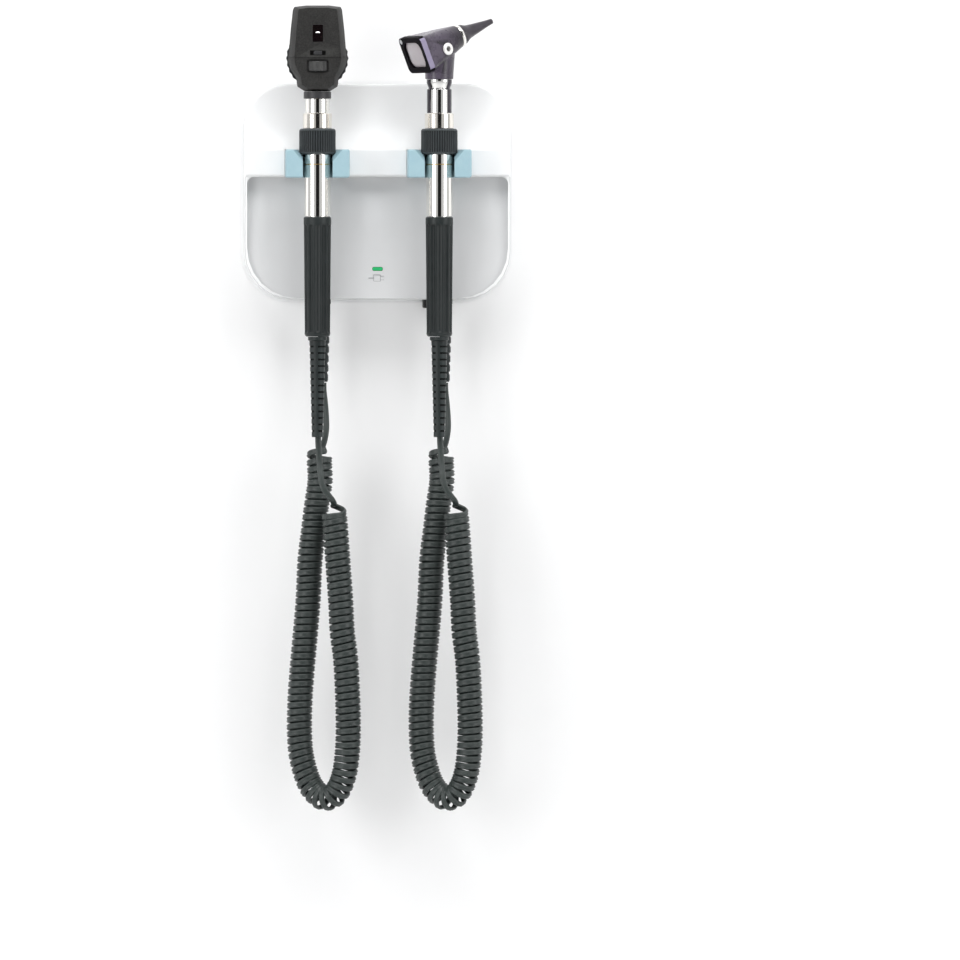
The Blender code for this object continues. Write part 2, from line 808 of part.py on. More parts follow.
def make_transformer():
    """A laminated core with two windows, and the winding round its middle limb."""
    back = PLATE_THICKNESS + GAP
    front = back + CORE_DEPTH
    core = block(
        "transformer_core",
        (-CORE_HALF_WIDTH, -front, CORE_LOW),
        (CORE_HALF_WIDTH, -back, CORE_TOP),
        steel(),
    )
    for side, hand in (("left", -1), ("right", 1)):
        inner, outer = sorted((hand * LIMB_HALF_WIDTH, hand * (CORE_HALF_WIDTH - YOKE)))
        window = block(
            f"core_{side}_window_cutter",
            (inner, -front - PASS, CORE_LOW + YOKE),
            (outer, -back + PASS, CORE_TOP - YOKE),
            steel(),
        )
        cut(core, window)
    half = CORE_HALF_WIDTH - YOKE - 2 * GAP
    low, high = CORE_LOW + YOKE + 2 * GAP, CORE_TOP - YOKE - 2 * GAP
    winding = block(
        "transformer_winding",
        (-half, -front - 2 * GAP, low),
        (half, -back - GAP, high),
        copper(),
    )
    limb_room = block(
        "winding_bore_cutter",
        (-LIMB_HALF_WIDTH - GAP, -front - 2 * PASS, CORE_LOW),
        (LIMB_HALF_WIDTH + GAP, PASS, CORE_TOP),
        copper(),
    )
    bridge = block(
        "winding_bridge_tool",
        (-half + WINDING_BRIDGE, -front - WINDING_BRIDGE, low + WINDING_BRIDGE),
        (half - WINDING_BRIDGE, -front - GAP, high - WINDING_BRIDGE),
        copper(),
    )
    cut(winding, limb_room)
    return fuse(winding, bridge)


def make_supply():
    """The board with its status light, and the inlet for the mains lead."""
    block(
        "circuit_board",
        (BOARD_LEFT, -BOARD_DEPTH - BOARD_THICKNESS, BOARD_LOW),
        (BOARD_RIGHT, -BOARD_DEPTH, BOARD_TOP),
        board_green(),
    )
    prism(
        "status_light",
        rounded(LIGHT_WIDTH, LIGHT_HEIGHT, 0.48 * LIGHT_HEIGHT, middle=(0, LIGHT_LEVEL)),
        -panel_depth(LIGHT_LEVEL) - 0.5 * MM,
        -BOARD_DEPTH - BOARD_THICKNESS - GAP,
        lit_green(),
    )
    edge = -UNIT_HEIGHT / 2
    inlet = block(
        "mains_inlet",
        (INLET_MIDDLE - INLET_WIDTH / 2, -INLET_FRONT, edge + PLATE_RIM - INLET_DROP),
        (INLET_MIDDLE + INLET_WIDTH / 2, -PLATE_THICKNESS / 2 - GAP, edge + 12 * MM),
        black_plastic(),
    )
    soften(inlet, 1.2 * MM)
    mouth = block(
        "inlet_mouth_cutter",
        (INLET_MIDDLE - INLET_MOUTH_WIDTH / 2, -INLET_FRONT + 4 * MM, -UNIT_HEIGHT),
        (INLET_MIDDLE + INLET_MOUTH_WIDTH / 2, -PLATE_THICKNESS - 2 * MM, edge + 8 * MM),
        black_plastic(),
    )
    return cut(inlet, mouth)


def gland_end():
    """Height where a cord leaves its gland."""
    return -UNIT_HEIGHT / 2 - GLAND_LENGTH


def make_gland(side, x):
    """The ribbed strain relief where a cord leaves the unit."""
    start, end = -UNIT_HEIGHT / 2, gland_end()
    top = start + 8 * MM
    outline = [(0, end), (GLAND_END_RADIUS * 0.8, end)]
    pitch = GLAND_LENGTH / (GLAND_RIBS + 0.5)
    for rib in range(GLAND_RIBS):
        low = end + pitch * rib
        radius = GLAND_END_RADIUS + (GLAND_RADIUS - GLAND_END_RADIUS) * (low - end) / GLAND_LENGTH
        outline += [
            (radius, low + 0.2 * pitch),
            (radius, low + 0.7 * pitch),
            (radius * 0.78, low + pitch),
        ]
    outline += [(GLAND_RADIUS, start - 1 * MM), (GLAND_RADIUS, top), (0, top)]
    return turned(
        f"{side}_cord_gland",
        outline,
        dark_rubber(),
        sides=10,
        at=(x + GLAND_OFFSET, -GLAND_DEPTH, 0),
    )


# ---------------------------------------------------------------- handles


def grip_span():
    """Heights of the grip's lower and upper ends."""
    high = COLLAR_BOTTOM - GAP - BARREL_LENGTH
    return high - GRIP_LENGTH, high


def relief_end():
    """Height where a cord leaves its handle."""
    return grip_span()[0] - GAP - RELIEF_LENGTH


def make_handle(side, body):
    """The barrel with its dimmer, neck, grip and strain relief."""
    collar_top = COLLAR_BOTTOM + COLLAR_HEIGHT
    barrel_top = COLLAR_BOTTOM - GAP
    grip_low, barrel_low = grip_span()
    stem_low = grip_low + 6 * MM
    groove = barrel_top - BARREL_GROOVE_DROP
    turned(
        f"{side}_barrel",
        [
            (BARREL_BORE_RADIUS, collar_top),
            (STEM_RADIUS, collar_top),
            (STEM_RADIUS, barrel_top),
            (BARREL_RADIUS, barrel_top),
            (BARREL_RADIUS, groove),
            (BARREL_RADIUS - BARREL_GROOVE_DEPTH, groove - BARREL_GROOVE_WIDTH / 2),
            (BARREL_RADIUS, groove - BARREL_GROOVE_WIDTH),
            (BARREL_RADIUS, barrel_low),
            (STEM_RADIUS, barrel_low),
            (STEM_RADIUS, stem_low),
            (BARREL_BORE_RADIUS, stem_low),
        ],
        chrome(),
        parent=body,
    )
    core_low = COLLAR_BOTTOM + COLLAR_FLOOR + 1 * MM
    core_high = core_low + CORE_HEIGHT
    turned(
        f"{side}_dimmer_core",
        [
            (STEM_RADIUS + GAP, core_low),
            (STEM_RADIUS + CORE_THICKNESS, core_low),
            (STEM_RADIUS + CORE_THICKNESS, core_high),
            (STEM_RADIUS + GAP, core_high),
        ],
        ceramic(),
        parent=body,
    )
    neck_low, neck_high = collar_top + GAP, collar_top + GAP + NECK_HEIGHT
    turned(
        f"{side}_neck",
        [
            (SPIGOT_RADIUS + GAP, neck_low),
            (NECK_RADIUS, neck_low),
            (NECK_RADIUS, neck_high - 0.8 * MM),
            (NECK_RADIUS - 0.8 * MM, neck_high),
            (SPIGOT_RADIUS + GAP, neck_high),
        ],
        nickel(),
        parent=body,
    )
    make_spigot(side, body, neck_low, neck_high)
    make_collar(side, body)
    make_grip(side, body, barrel_low - GAP, grip_low)
    make_relief(side, body, grip_low - GAP)


def make_spigot(side, body, low, neck_high):
    """The bayonet's male end: a tube with two lugs, and the sprung centre contact inside it."""
    high = neck_high + SPIGOT_HEIGHT
    spigot = turned(
        f"{side}_bayonet",
        [
            (SPIGOT_BORE_RADIUS, low),
            (SPIGOT_RADIUS, low),
            (SPIGOT_RADIUS, high - 1 * MM),
            (SPIGOT_RADIUS - 1 * MM, high),
            (SPIGOT_BORE_RADIUS, high),
        ],
        nickel(),
        sides=24,
        parent=body,
    )
    middle = neck_high + LUG_RISE
    for hand in (-1, 1):
        root, tip = SPIGOT_RADIUS - 1.5 * MM, SPIGOT_RADIUS + LUG_REACH
        inner, outer = sorted((hand * root, hand * tip))
        fuse(
            spigot,
            block(
                f"{side}_lug_{hand}_tool",
                (inner, -LUG_WIDTH / 2, middle - LUG_HEIGHT / 2),
                (outer, LUG_WIDTH / 2, middle + LUG_HEIGHT / 2),
                nickel(),
                parent=body,
            ),
        )
    shoulder = high - PIN_SHOULDER_DROP
    turned(
        f"{side}_contact_pin",
        [
            (0, shoulder - PIN_HEAD_HEIGHT),
            (PIN_HEAD_RADIUS, shoulder - PIN_HEAD_HEIGHT),
            (PIN_HEAD_RADIUS, shoulder),
            (PIN_RADIUS, shoulder),
            (PIN_RADIUS, high + 0.7 * PIN_STAND),
            (0, high + PIN_STAND),
        ],
        brass(),
        sides=12,
        parent=body,
    )
    spring_top = shoulder - PIN_HEAD_HEIGHT - GAP - SPRING_WIRE
    spring_low = low + 1 * MM
    coil = []
    steps = SPRING_TURNS * 8
    for step in range(steps + 1):
        angle = math.tau * SPRING_TURNS * step / steps
        coil.append(
            (
                PIN_HEAD_RADIUS * 0.8 * math.cos(angle),
                PIN_HEAD_RADIUS * 0.8 * math.sin(angle),
                spring_low + (spring_top - spring_low) * step / steps,
            )
        )
    tube(f"{side}_contact_spring", coil, SPRING_WIRE, steel(), resolution=1, parent=body)


def make_collar(side, body):
    """The ribbed dimmer ring, open at the top over the resistance core."""
    low, high = COLLAR_BOTTOM, COLLAR_BOTTOM + COLLAR_HEIGHT
    rings = []
    bore = STEM_RADIUS + GAP
    pocket = STEM_RADIUS + CORE_THICKNESS + 1.2 * MM
    outside = ribbed(COLLAR_RADIUS, COLLAR_RIBS, COLLAR_RIB_DEPTH)
    count = len(outside)
    floor = low + COLLAR_FLOOR
    for radius, z in ((bore, low), (bore, floor), (pocket, floor), (pocket, high)):
        rings.append(
            [
                (
                    radius * math.cos(math.tau * index / count),
                    radius * math.sin(math.tau * index / count),
                    z,
                )
                for index in range(count)
            ]
        )
    chamfer = 1 - COLLAR_CHAMFER / COLLAR_RADIUS
    for scale, z in (
        (chamfer, high),
        (1, high - COLLAR_CHAMFER),
        (1, low + COLLAR_CHAMFER),
        (chamfer, low),
    ):
        rings.append([(x * scale, y * scale, z) for x, y in outside])
    return skinned(f"{side}_dimmer_collar", rings, dark_rubber(), closed=True, parent=body)


def make_grip(side, body, high, low):
    """A fluted rubber sleeve that tapers to a rounded lower end."""
    per_flute = 3
    count = GRIP_FLUTES * per_flute
    bore = STEM_RADIUS + GAP
    inner = [
        (bore * math.cos(math.tau * index / count), bore * math.sin(math.tau * index / count))
        for index in range(count)
    ]
    rings = [[(x, y, z) for x, y in inner] for z in (low, high)]
    round_end = 3.2 * MM
    sections = [
        (GRIP_TOP_RADIUS - 0.9 * MM, 0, high),
        (GRIP_TOP_RADIUS, 0, high - 0.9 * MM),
        (GRIP_TOP_RADIUS, 0, high - GRIP_RIM),
        (GRIP_TOP_RADIUS, GRIP_FLUTE_DEPTH, high - GRIP_RIM - 3 * MM),
        (GRIP_BOTTOM_RADIUS, GRIP_FLUTE_DEPTH, low + round_end),
        (GRIP_BOTTOM_RADIUS - 0.5 * round_end, 0, low),
    ]
    for radius, depth, z in sections:
        rings.append([(x, y, z) for x, y in ribbed(radius, GRIP_FLUTES, depth, per_flute)])
    return skinned(f"{side}_grip", rings, dark_rubber(), closed=True, parent=body)


def make_relief(side, body, high):
    """The handle's strain relief, with a slot on each side of a web in every row."""
    low = high - RELIEF_LENGTH
    shoulder = 3.4 * MM
    relief = turned(
        f"{side}_strain_relief",
        [
            (0, low),
            (RELIEF_END_RADIUS, low),
            (RELIEF_TOP_RADIUS, high - shoulder),
            (RELIEF_SHOULDER_RADIUS, high - shoulder + 0.6 * MM),
            (RELIEF_SHOULDER_RADIUS, high),
            (0, high),
        ],
        dark_rubber(),
        sides=14,
        parent=body,
    )
    slots = bmesh.new()
    reach = RELIEF_TOP_RADIUS + PASS
    for row in range(RELIEF_ROWS):
        middle = high - shoulder - RELIEF_PITCH * (row + 0.9)
        for hand in (-1, 1):
            box = bmesh.ops.create_cube(slots, size=1)["verts"]
            size = (reach - RELIEF_WEB / 2, 2 * reach, RELIEF_SLOT)
            across = hand * (reach + RELIEF_WEB / 2) / 2
            bmesh.ops.scale(slots, vec=size, verts=box)
            bmesh.ops.translate(slots, vec=(across, 0, middle), verts=box)
    turn = (0, 0, math.radians(RELIEF_TURN))
    cutter = piece(
        f"{side}_relief_slots_cutter",
        slots,
        dark_rubber(),
        parent=body,
        turn=turn,
    )
    return cut(relief, cutter)


def make_socket(side, body, height):
    """The head's chrome sleeve, with a groove inside that the bayonet's lugs turn in."""
    low = HEAD_BASE + 2 * GAP
    high = low + height
    bore = SPIGOT_RADIUS + FIT
    groove = SPIGOT_RADIUS + LUG_REACH + FIT
    lug = low - GAP + LUG_RISE
    half = LUG_HEIGHT / 2 + FIT
    waist = high - 8 * MM
    floor = low - GAP + SPIGOT_HEIGHT + 3 * MM
    outline = [
        (bore, low),
        (SOCKET_RADIUS, low),
    ]
    if height > 20 * MM:
        outline += [
            (SOCKET_RADIUS, waist - 0.8 * MM),
            (SOCKET_RADIUS - 1.3 * MM, waist),
            (SOCKET_RADIUS - 1.2 * MM, waist + 1.2 * MM),
            (SOCKET_RADIUS + 0.3 * MM, high - 3 * MM),
            (SOCKET_RADIUS + 0.3 * MM, high),
            (LAMP_RADIUS + 2 * GAP, high),
            (LAMP_RADIUS + 2 * GAP, floor),
            (bore, floor),
        ]
    else:
        outline += [(SOCKET_RADIUS, high), (bore, high)]
    outline += [
        (bore, lug + half),
        (groove, lug + half),
        (groove, lug - half),
        (bore, lug - half),
    ]
    return turned(f"{side}_head_socket", outline, chrome(), parent=body)


# ---------------------------------------------------------------- otoscope head


def section(along, width, height, corner, steps=4):
    return [(x, along, z) for x, z in rounded(width, height, corner, steps)]


def body_waist():
    """Where the boxy rear meets the rounding nose: its place along the axis, width and height."""
    share = OTO_WAIST_SHARE
    along = OTO_BODY_BACK + (OTO_BODY_FRONT - OTO_BODY_BACK) * share
    width = OTO_BODY_WIDTH + (2 * OTO_FRONT_RADIUS - OTO_BODY_WIDTH) * share * 0.9
    height = OTO_BODY_HEIGHT + (2 * OTO_FRONT_RADIUS - OTO_BODY_HEIGHT) * share * 0.85
    return along, width, height


def side_taper():
    """How much half the body's width shrinks for each unit along the axis, behind the waist."""
    along, width, _ = body_waist()
    return (OTO_BODY_WIDTH - width) / 2 / (along - OTO_BODY_BACK)


def make_otoscope_head(handle):
    head = axis_at("otoscope_head_axis", (0, 0, 0), parent=handle)
    tilt = (math.radians(HEAD_RISE), 0, math.radians(HEAD_YAW - 90))
    view = axis_at("otoscope_view_axis", (0, 0, VIEW_HEIGHT), tilt, parent=head)
    make_socket("otoscope", head, OTO_SOCKET_HEIGHT)
    make_shell(head, view)
    make_lens(view)
    make_port(view)
    make_nose(view)
    make_otoscope_lamp(head, view)


def make_shell(head, view):
    """A box-shaped rear that blends to a round nose, standing on a flared neck."""
    low = HEAD_BASE + 3 * GAP + OTO_SOCKET_HEIGHT
    front = 2 * OTO_FRONT_RADIUS
    waist_along, middle_width, middle_height = body_waist()
    shell = skinned(
        "otoscope_head_shell",
        [
            section(OTO_BODY_BACK, OTO_BODY_WIDTH, OTO_BODY_HEIGHT, OTO_BODY_CORNER),
            section(waist_along, middle_width, middle_height, 2.1 * OTO_BODY_CORNER),
            section(OTO_BODY_FRONT, front, front, 0.97 * OTO_FRONT_RADIUS),
        ],
        black_plastic(),
        parent=view,
    )
    neck = turned(
        "otoscope_neck_tool",
        [
            (0, low),
            (OTO_NECK_RADIUS, low),
            (OTO_NECK_TOP_RADIUS, low + OTO_NECK_HEIGHT),
            (0, low + OTO_NECK_HEIGHT),
        ],
        black_plastic(),
        parent=head,
    )
    fuse(shell, neck)
    wall = 2 * OTO_WALL
    inside = skinned(
        "otoscope_inside_cutter",
        [
            section(OTO_BODY_BACK - PASS, OTO_BODY_WIDTH - wall, OTO_BODY_HEIGHT - wall, 3 * MM),
            section(waist_along, middle_width - wall, middle_height - wall, 1.8 * OTO_BODY_CORNER),
            section(
                OTO_BODY_FRONT + PASS,
                front - wall,
                front - wall,
                0.97 * (OTO_FRONT_RADIUS - OTO_WALL),
            ),
        ],
        black_plastic(),
        parent=view,
    )
    lamp_bore = rod(
        "otoscope_lamp_bore_cutter",
        LAMP_RADIUS + 2 * GAP,
        low - PASS,
        low + 20 * MM,
        black_plastic(),
        parent=head,
    )
    port_hole = rod(
        "otoscope_port_hole_cutter",
        PORT_HOLE_RADIUS + 1.2 * MM + GAP,
        -6 * MM,
        6 * MM,
        black_plastic(),
        parent=view,
        at=port_place(),
        turn=port_turn(),
    )
    pivot_hole = rod(
        "otoscope_pivot_hole_cutter",
        PIVOT_RADIUS + GAP,
        -3 * MM,
        4.5 * MM,
        black_plastic(),
        parent=view,
        at=(PIVOT_ACROSS, OTO_BODY_BACK, PIVOT_UP),
        turn=(math.radians(-90), 0, 0),
    )
    boss = block(
        "otoscope_pivot_boss_tool",
        (PIVOT_ACROSS - 2.4 * MM, OTO_BODY_BACK, PIVOT_UP - 4.5 * MM),
        (PIVOT_ACROSS + 4.5 * MM, OTO_BODY_BACK + 5 * MM, PIVOT_UP + 2.2 * MM),
        black_plastic(),
        parent=view,
    )
    cut(shell, inside)
    fuse(shell, boss)
    return cut(shell, lamp_bore, port_hole, pivot_hole)


def make_lens(view):
    """The magnifying lens in its frame, which swings aside on a corner pivot."""
    back = OTO_BODY_BACK - GAP - FRAME_THICKNESS
    swing = axis_at("otoscope_lens_swing", (PIVOT_ACROSS, 0, PIVOT_UP), parent=view)
    shift = (-PIVOT_ACROSS, -PIVOT_UP)
    outline = rounded(FRAME_WIDTH, FRAME_HEIGHT, FRAME_CORNER, middle=shift)
    frame = prism(
        "otoscope_lens_frame",
        outline,
        back,
        back + FRAME_THICKNESS,
        black_plastic(),
        parent=swing,
    )
    opening = rounded(LENS_WIDTH, LENS_HEIGHT, LENS_CORNER, 5, shift)
    sight = rounded(
        LENS_WIDTH - 2 * LENS_LEDGE,
        LENS_HEIGHT - 2 * LENS_LEDGE,
        LENS_CORNER - LENS_LEDGE,
        5,
        shift,
    )
    seat = prism(
        "otoscope_lens_seat_cutter",
        opening,
        back - PASS,
        back + FRAME_THICKNESS - 1.2 * MM,
        black_plastic(),
        parent=swing,
    )
    through = prism(
        "otoscope_lens_sight_cutter",
        sight,
        back - PASS,
        back + FRAME_THICKNESS + PASS,
        black_plastic(),
        parent=swing,
    )
    hole = rod(
        "otoscope_frame_hole_cutter",
        PIVOT_RADIUS + GAP,
        -PASS,
        FRAME_THICKNESS + PASS,
        black_plastic(),
        parent=swing,
        at=(0, back, 0),
        turn=(math.radians(-90), 0, 0),
    )
    head_room = rod(
        "otoscope_frame_head_cutter",
        PIVOT_HEAD_RADIUS + GAP,
        -PASS,
        1.2 * MM + GAP,
        black_plastic(),
        parent=swing,
        at=(0, back, 0),
        turn=(math.radians(-90), 0, 0),
    )
    cut(frame, seat, through, hole, head_room)
    rest = back + FRAME_THICKNESS - 1.2 * MM - GAP
    edge = 1.4 * MM
    glass_rings = []
    crown = LENS_CENTRE_THICKNESS - 0.3 * MM
    for share, drop in ((1.0, 0), (1.0, edge), (0.8, edge + 1.0 * MM), (0.5, crown)):
        width = (LENS_WIDTH - 2 * GAP) * share
        height = (LENS_HEIGHT - 2 * GAP) * share
        ring = rounded(width, height, (LENS_CORNER - GAP) * share, 5, shift)
        glass_rings.append([(x, rest - drop, z) for x, z in ring])
    skinned("otoscope_lens", glass_rings, glass(), parent=swing)
    turned(
        "otoscope_lens_pivot",
        [
            (0, 0),
            (PIVOT_HEAD_RADIUS, 0),
            (PIVOT_HEAD_RADIUS, 1.0 * MM),
            (PIVOT_RADIUS, 1.0 * MM),
            (PIVOT_RADIUS, FRAME_THICKNESS + GAP + 4 * MM),
            (0, FRAME_THICKNESS + GAP + 4 * MM),
        ],
        steel(),
        sides=12,
        parent=view,
        at=(PIVOT_ACROSS, back + 0.1 * MM, PIVOT_UP),
        turn=(math.radians(-90), 0, 0),
    )


def port_place():
    across = OTO_BODY_WIDTH / 2 - side_taper() * (PORT_ALONG - OTO_BODY_BACK)
    return (across, PORT_ALONG, PORT_UP)


def port_turn():
    """Turns a piece's Z to stand square on the tapering side."""
    out = Vector((1, side_taper(), 0))
    return out.to_track_quat("Z", "Y").to_euler()


def make_port(view):
    """The nipple that a rubber bulb's tube pushes into."""
    spigot = PORT_HOLE_RADIUS + 1.2 * MM
    turned(
        "otoscope_insufflation_port",
        [
            (PORT_HOLE_RADIUS, -OTO_WALL),
            (spigot, -OTO_WALL),
            (spigot, 0.5 * MM),
            (PORT_RADIUS, 0.5 * MM),
            (PORT_RADIUS, PORT_STAND),
            (PORT_RADIUS - 0.9 * MM, PORT_STAND + 0.6 * MM),
            (PORT_HOLE_RADIUS, PORT_STAND + 0.6 * MM),
        ],
        chrome(),
        sides=20,
        parent=view,
        at=port_place(),
        turn=port_turn(),
    )


def make_nose(view):
    """The chrome ring, the holder behind the speculum, and the speculum itself."""
    along = (math.radians(-90), 0, 0)
    ring_start = OTO_BODY_FRONT + GAP
    bore = HOLDER_RADIUS - HOLDER_WALL
    turned(
        "otoscope_specula_ring",
        [
            (bore, 0),
            (RING_RADIUS, 0),
            (RING_RADIUS + 0.5 * MM, RING_THICKNESS / 2),
            (RING_RADIUS, RING_THICKNESS),
            (bore, RING_THICKNESS),
        ],
        chrome(),
        sides=32,
        parent=view,
        at=(0, ring_start, 0),
        turn=along,
    )
    holder_start = ring_start + RING_THICKNESS + GAP
    tip_bore = HOLDER_TIP_RADIUS - HOLDER_WALL * 0.6
    turned(
        "otoscope_speculum_holder",
        [
            (bore, 0),
            (HOLDER_RADIUS, 0),
            (HOLDER_RADIUS * 0.72, HOLDER_LENGTH * 0.4),
            (HOLDER_TIP_RADIUS, HOLDER_LENGTH),
            (tip_bore, HOLDER_LENGTH),
            (bore * 0.7, HOLDER_LENGTH * 0.4),
        ],
        black_plastic(),
        sides=20,
        parent=view,
        at=(0, holder_start, 0),
        turn=along,
    )
    turn = axis_at("otoscope_speculum_twist", (0, holder_start, 0), along, parent=view)
    outside = [
        (SPECULUM_RADIUS, 0),
        (SPECULUM_RADIUS, 2.4 * MM),
        (0.74 * SPECULUM_RADIUS, 0.2 * SPECULUM_LENGTH),
        (0.60 * SPECULUM_RADIUS, 0.38 * SPECULUM_LENGTH),
        (0.47 * SPECULUM_RADIUS, 0.60 * SPECULUM_LENGTH),
        (0.34 * SPECULUM_RADIUS, 0.82 * SPECULUM_LENGTH),
        (SPECULUM_TIP_RADIUS, SPECULUM_LENGTH),
    ]
    inside = [(radius - SPECULUM_WALL, height) for radius, height in reversed(outside)]
    speculum = turned(
        "otoscope_speculum",
        outside + inside,
        black_plastic(),
        sides=20,
        parent=turn,
    )
    for hand in (-1, 1):
        root, tip = SPECULUM_RADIUS - 0.5 * MM, SPECULUM_RADIUS + 0.9 * MM
        inner, outer = sorted((hand * root, hand * tip))
        fuse(
            speculum,
            block(
                f"otoscope_speculum_lug_{hand}_tool",
                (inner, -1.6 * MM, 0.4 * MM),
                (outer, 1.6 * MM, 2.0 * MM),
                black_plastic(),
                parent=turn,
            ),
        )


def make_otoscope_lamp(head, view):
    low = HEAD_BASE + 2 * GAP
    base = low + SPIGOT_HEIGHT + PIN_STAND + CONTACT_THICKNESS
    turned(
        "otoscope_lamp_contact",
        [
            (0, base - CONTACT_THICKNESS),
            (LAMP_RADIUS, base - CONTACT_THICKNESS),
            (LAMP_RADIUS, base),
            (0, base),
        ],
        brass(),
        sides=16,
        parent=head,
    )
    turned(
        "otoscope_lamp",
        [
            (0, base + GAP),
            (LAMP_RADIUS, base + GAP),
            (LAMP_RADIUS, base + LAMP_LENGTH * 0.65),
            (LAMP_RADIUS * 0.7, base + LAMP_LENGTH * 0.75),
            (LAMP_RADIUS * 0.7, base + LAMP_LENGTH * 0.9),
            (0, base + LAMP_LENGTH),
        ],
        glass(),
        sides=16,
        parent=head,
    )
    rise = math.radians(HEAD_RISE)
    route = []
    for height in (base + LAMP_LENGTH + GAP, base + LAMP_LENGTH + 8 * MM, VIEW_HEIGHT - 13.5 * MM):
        drop = height - VIEW_HEIGHT
        route.append((0, drop * math.sin(rise), drop * math.cos(rise)))
    front = OTO_BODY_FRONT - 0.5 * MM
    level = -(HOLDER_RADIUS - HOLDER_WALL)
    route += [
        (0, -1.5 * MM, level - 3.9 * MM),
        (0, 5.0 * MM, level - 3.1 * MM),
        (0, 12.0 * MM, level - 1.7 * MM),
        (0, front, level),
    ]
    tube(
        "otoscope_light_guide",
        smooth_line(route, 2.4 * MM),
        GUIDE_RADIUS,
        glass(),
        resolution=1,
        parent=view,
    )


# ---------------------------------------------------------------- ophthalmoscope head


def ophthalmoscope_outline():
    """Half the head's front outline as (half width, height), from the collar up."""
    return [(half * MM, HEAD_BASE + rise * MM) for half, rise in OPH_HALF_OUTLINE]


def head_ring(depth, across=1.0, trim=0.0):
    """The outline at a depth, narrowed by a share and with its top and bottom trimmed."""
    half = ophthalmoscope_outline()
    low, high = half[0][1], half[-1][1]
    middle = (low + high) / 2
    scale = 1 - 2 * trim / (high - low)
    right = [(x * across, middle + (z - middle) * scale) for x, z in half]
    points = right + [(-x, z) for x, z in reversed(right)]
    return [(x, depth, z) for x, z in points]


def make_ophthalmoscope_head(handle):
    head = axis_at("ophthalmoscope_head_axis", (0, 0, 0), parent=handle)
    make_socket("ophthalmoscope", head, OPH_SOCKET_HEIGHT)
    base = HEAD_BASE + 3 * GAP + OPH_SOCKET_HEIGHT
    turned(
        "ophthalmoscope_head_collar",
        [
            (OPH_COLLAR_BORE_RADIUS, base),
            (OPH_COLLAR_RADIUS, base),
            (OPH_COLLAR_RADIUS, base + OPH_COLLAR_HEIGHT),
            (OPH_COLLAR_BORE_RADIUS, base + OPH_COLLAR_HEIGHT),
        ],
        black_plastic(),
        parent=head,
    )
    front = skinned(
        "ophthalmoscope_front_shell",
        [
            head_ring(OPH_PARTING - GAP),
            head_ring(-OPH_FRONT_DEPTH * 0.4),
            head_ring(-OPH_FRONT_DEPTH, OPH_FACE_SHARE, 2 * MM),
        ],
        grey_plastic(),
        parent=head,
    )
    rear = skinned(
        "ophthalmoscope_rear_shell",
        [
            head_ring(OPH_PARTING),
            head_ring(OPH_PARTING + 4 * MM, 0.96, 0.5 * MM),
            head_ring(OPH_BACK_DEPTH, 0.8, 3 * MM),
        ],
        grey_plastic(),
        parent=head,
    )
    centre = (0, OPH_PARTING - GAP / 2, WHEEL_HEIGHT)
    flat = (math.radians(-90), 0, 0)
    for shell, name in ((front, "front"), (rear, "rear")):
        room = rod(
            f"ophthalmoscope_wheel_room_{name}_cutter",
            WHEEL_RADIUS + 0.5 * MM,
            -WHEEL_THICKNESS / 2 - FIT,
            WHEEL_THICKNESS / 2 + FIT,
            grey_plastic(),
            sides=40,
            parent=head,
            at=centre,
            turn=flat,
        )
        cut(shell, room)
    make_wheel(head, centre, flat, rear)
    make_face(head, front, rear)
    make_ophthalmoscope_lamp(head, front, base)


def make_wheel(head, centre, flat, rear):
    """The disc of correcting lenses, turned by its scalloped edge."""
    wheel = skinned(
        "ophthalmoscope_lens_wheel",
        [
            [(x, y, z) for x, y in ribbed(WHEEL_RADIUS, WHEEL_LOBES, WHEEL_LOBE_DEPTH)]
            for z in (-WHEEL_THICKNESS / 2, WHEEL_THICKNESS / 2)
        ],
        black_plastic(),
        parent=head,
        at=centre,
        turn=flat,
    )
    sight = WINDOW_LEVEL - WHEEL_HEIGHT
    for index in range(WHEEL_LENSES):
        angle = math.tau * index / WHEEL_LENSES
        cut(
            wheel,
            rod(
                f"ophthalmoscope_lens_hole_{index}_cutter",
                WHEEL_LENS_RADIUS,
                -WHEEL_THICKNESS,
                WHEEL_THICKNESS,
                black_plastic(),
                sides=8,
                parent=wheel,
                at=(sight * math.sin(angle), -sight * math.cos(angle), 0),
            ),
        )
    cut(
        wheel,
        rod(
            "ophthalmoscope_wheel_bore_cutter",
            WHEEL_HUB_RADIUS + FIT,
            -WHEEL_THICKNESS,
            WHEEL_THICKNESS,
            black_plastic(),
            parent=wheel,
        ),
    )
    axle_end = WHEEL_THICKNESS / 2 + FIT + 2 * MM
    rod(
        "ophthalmoscope_wheel_axle",
        WHEEL_HUB_RADIUS,
        -WHEEL_THICKNESS / 2 - FIT + GAP,
        axle_end,
        steel(),
        sides=16,
        parent=head,
        at=centre,
        turn=flat,
    )
    cut(
        rear,
        rod(
            "ophthalmoscope_axle_hole_cutter",
            WHEEL_HUB_RADIUS + GAP,
            0,
            axle_end + GAP,
            steel(),
            parent=head,
            at=centre,
            turn=flat,
        ),
    )


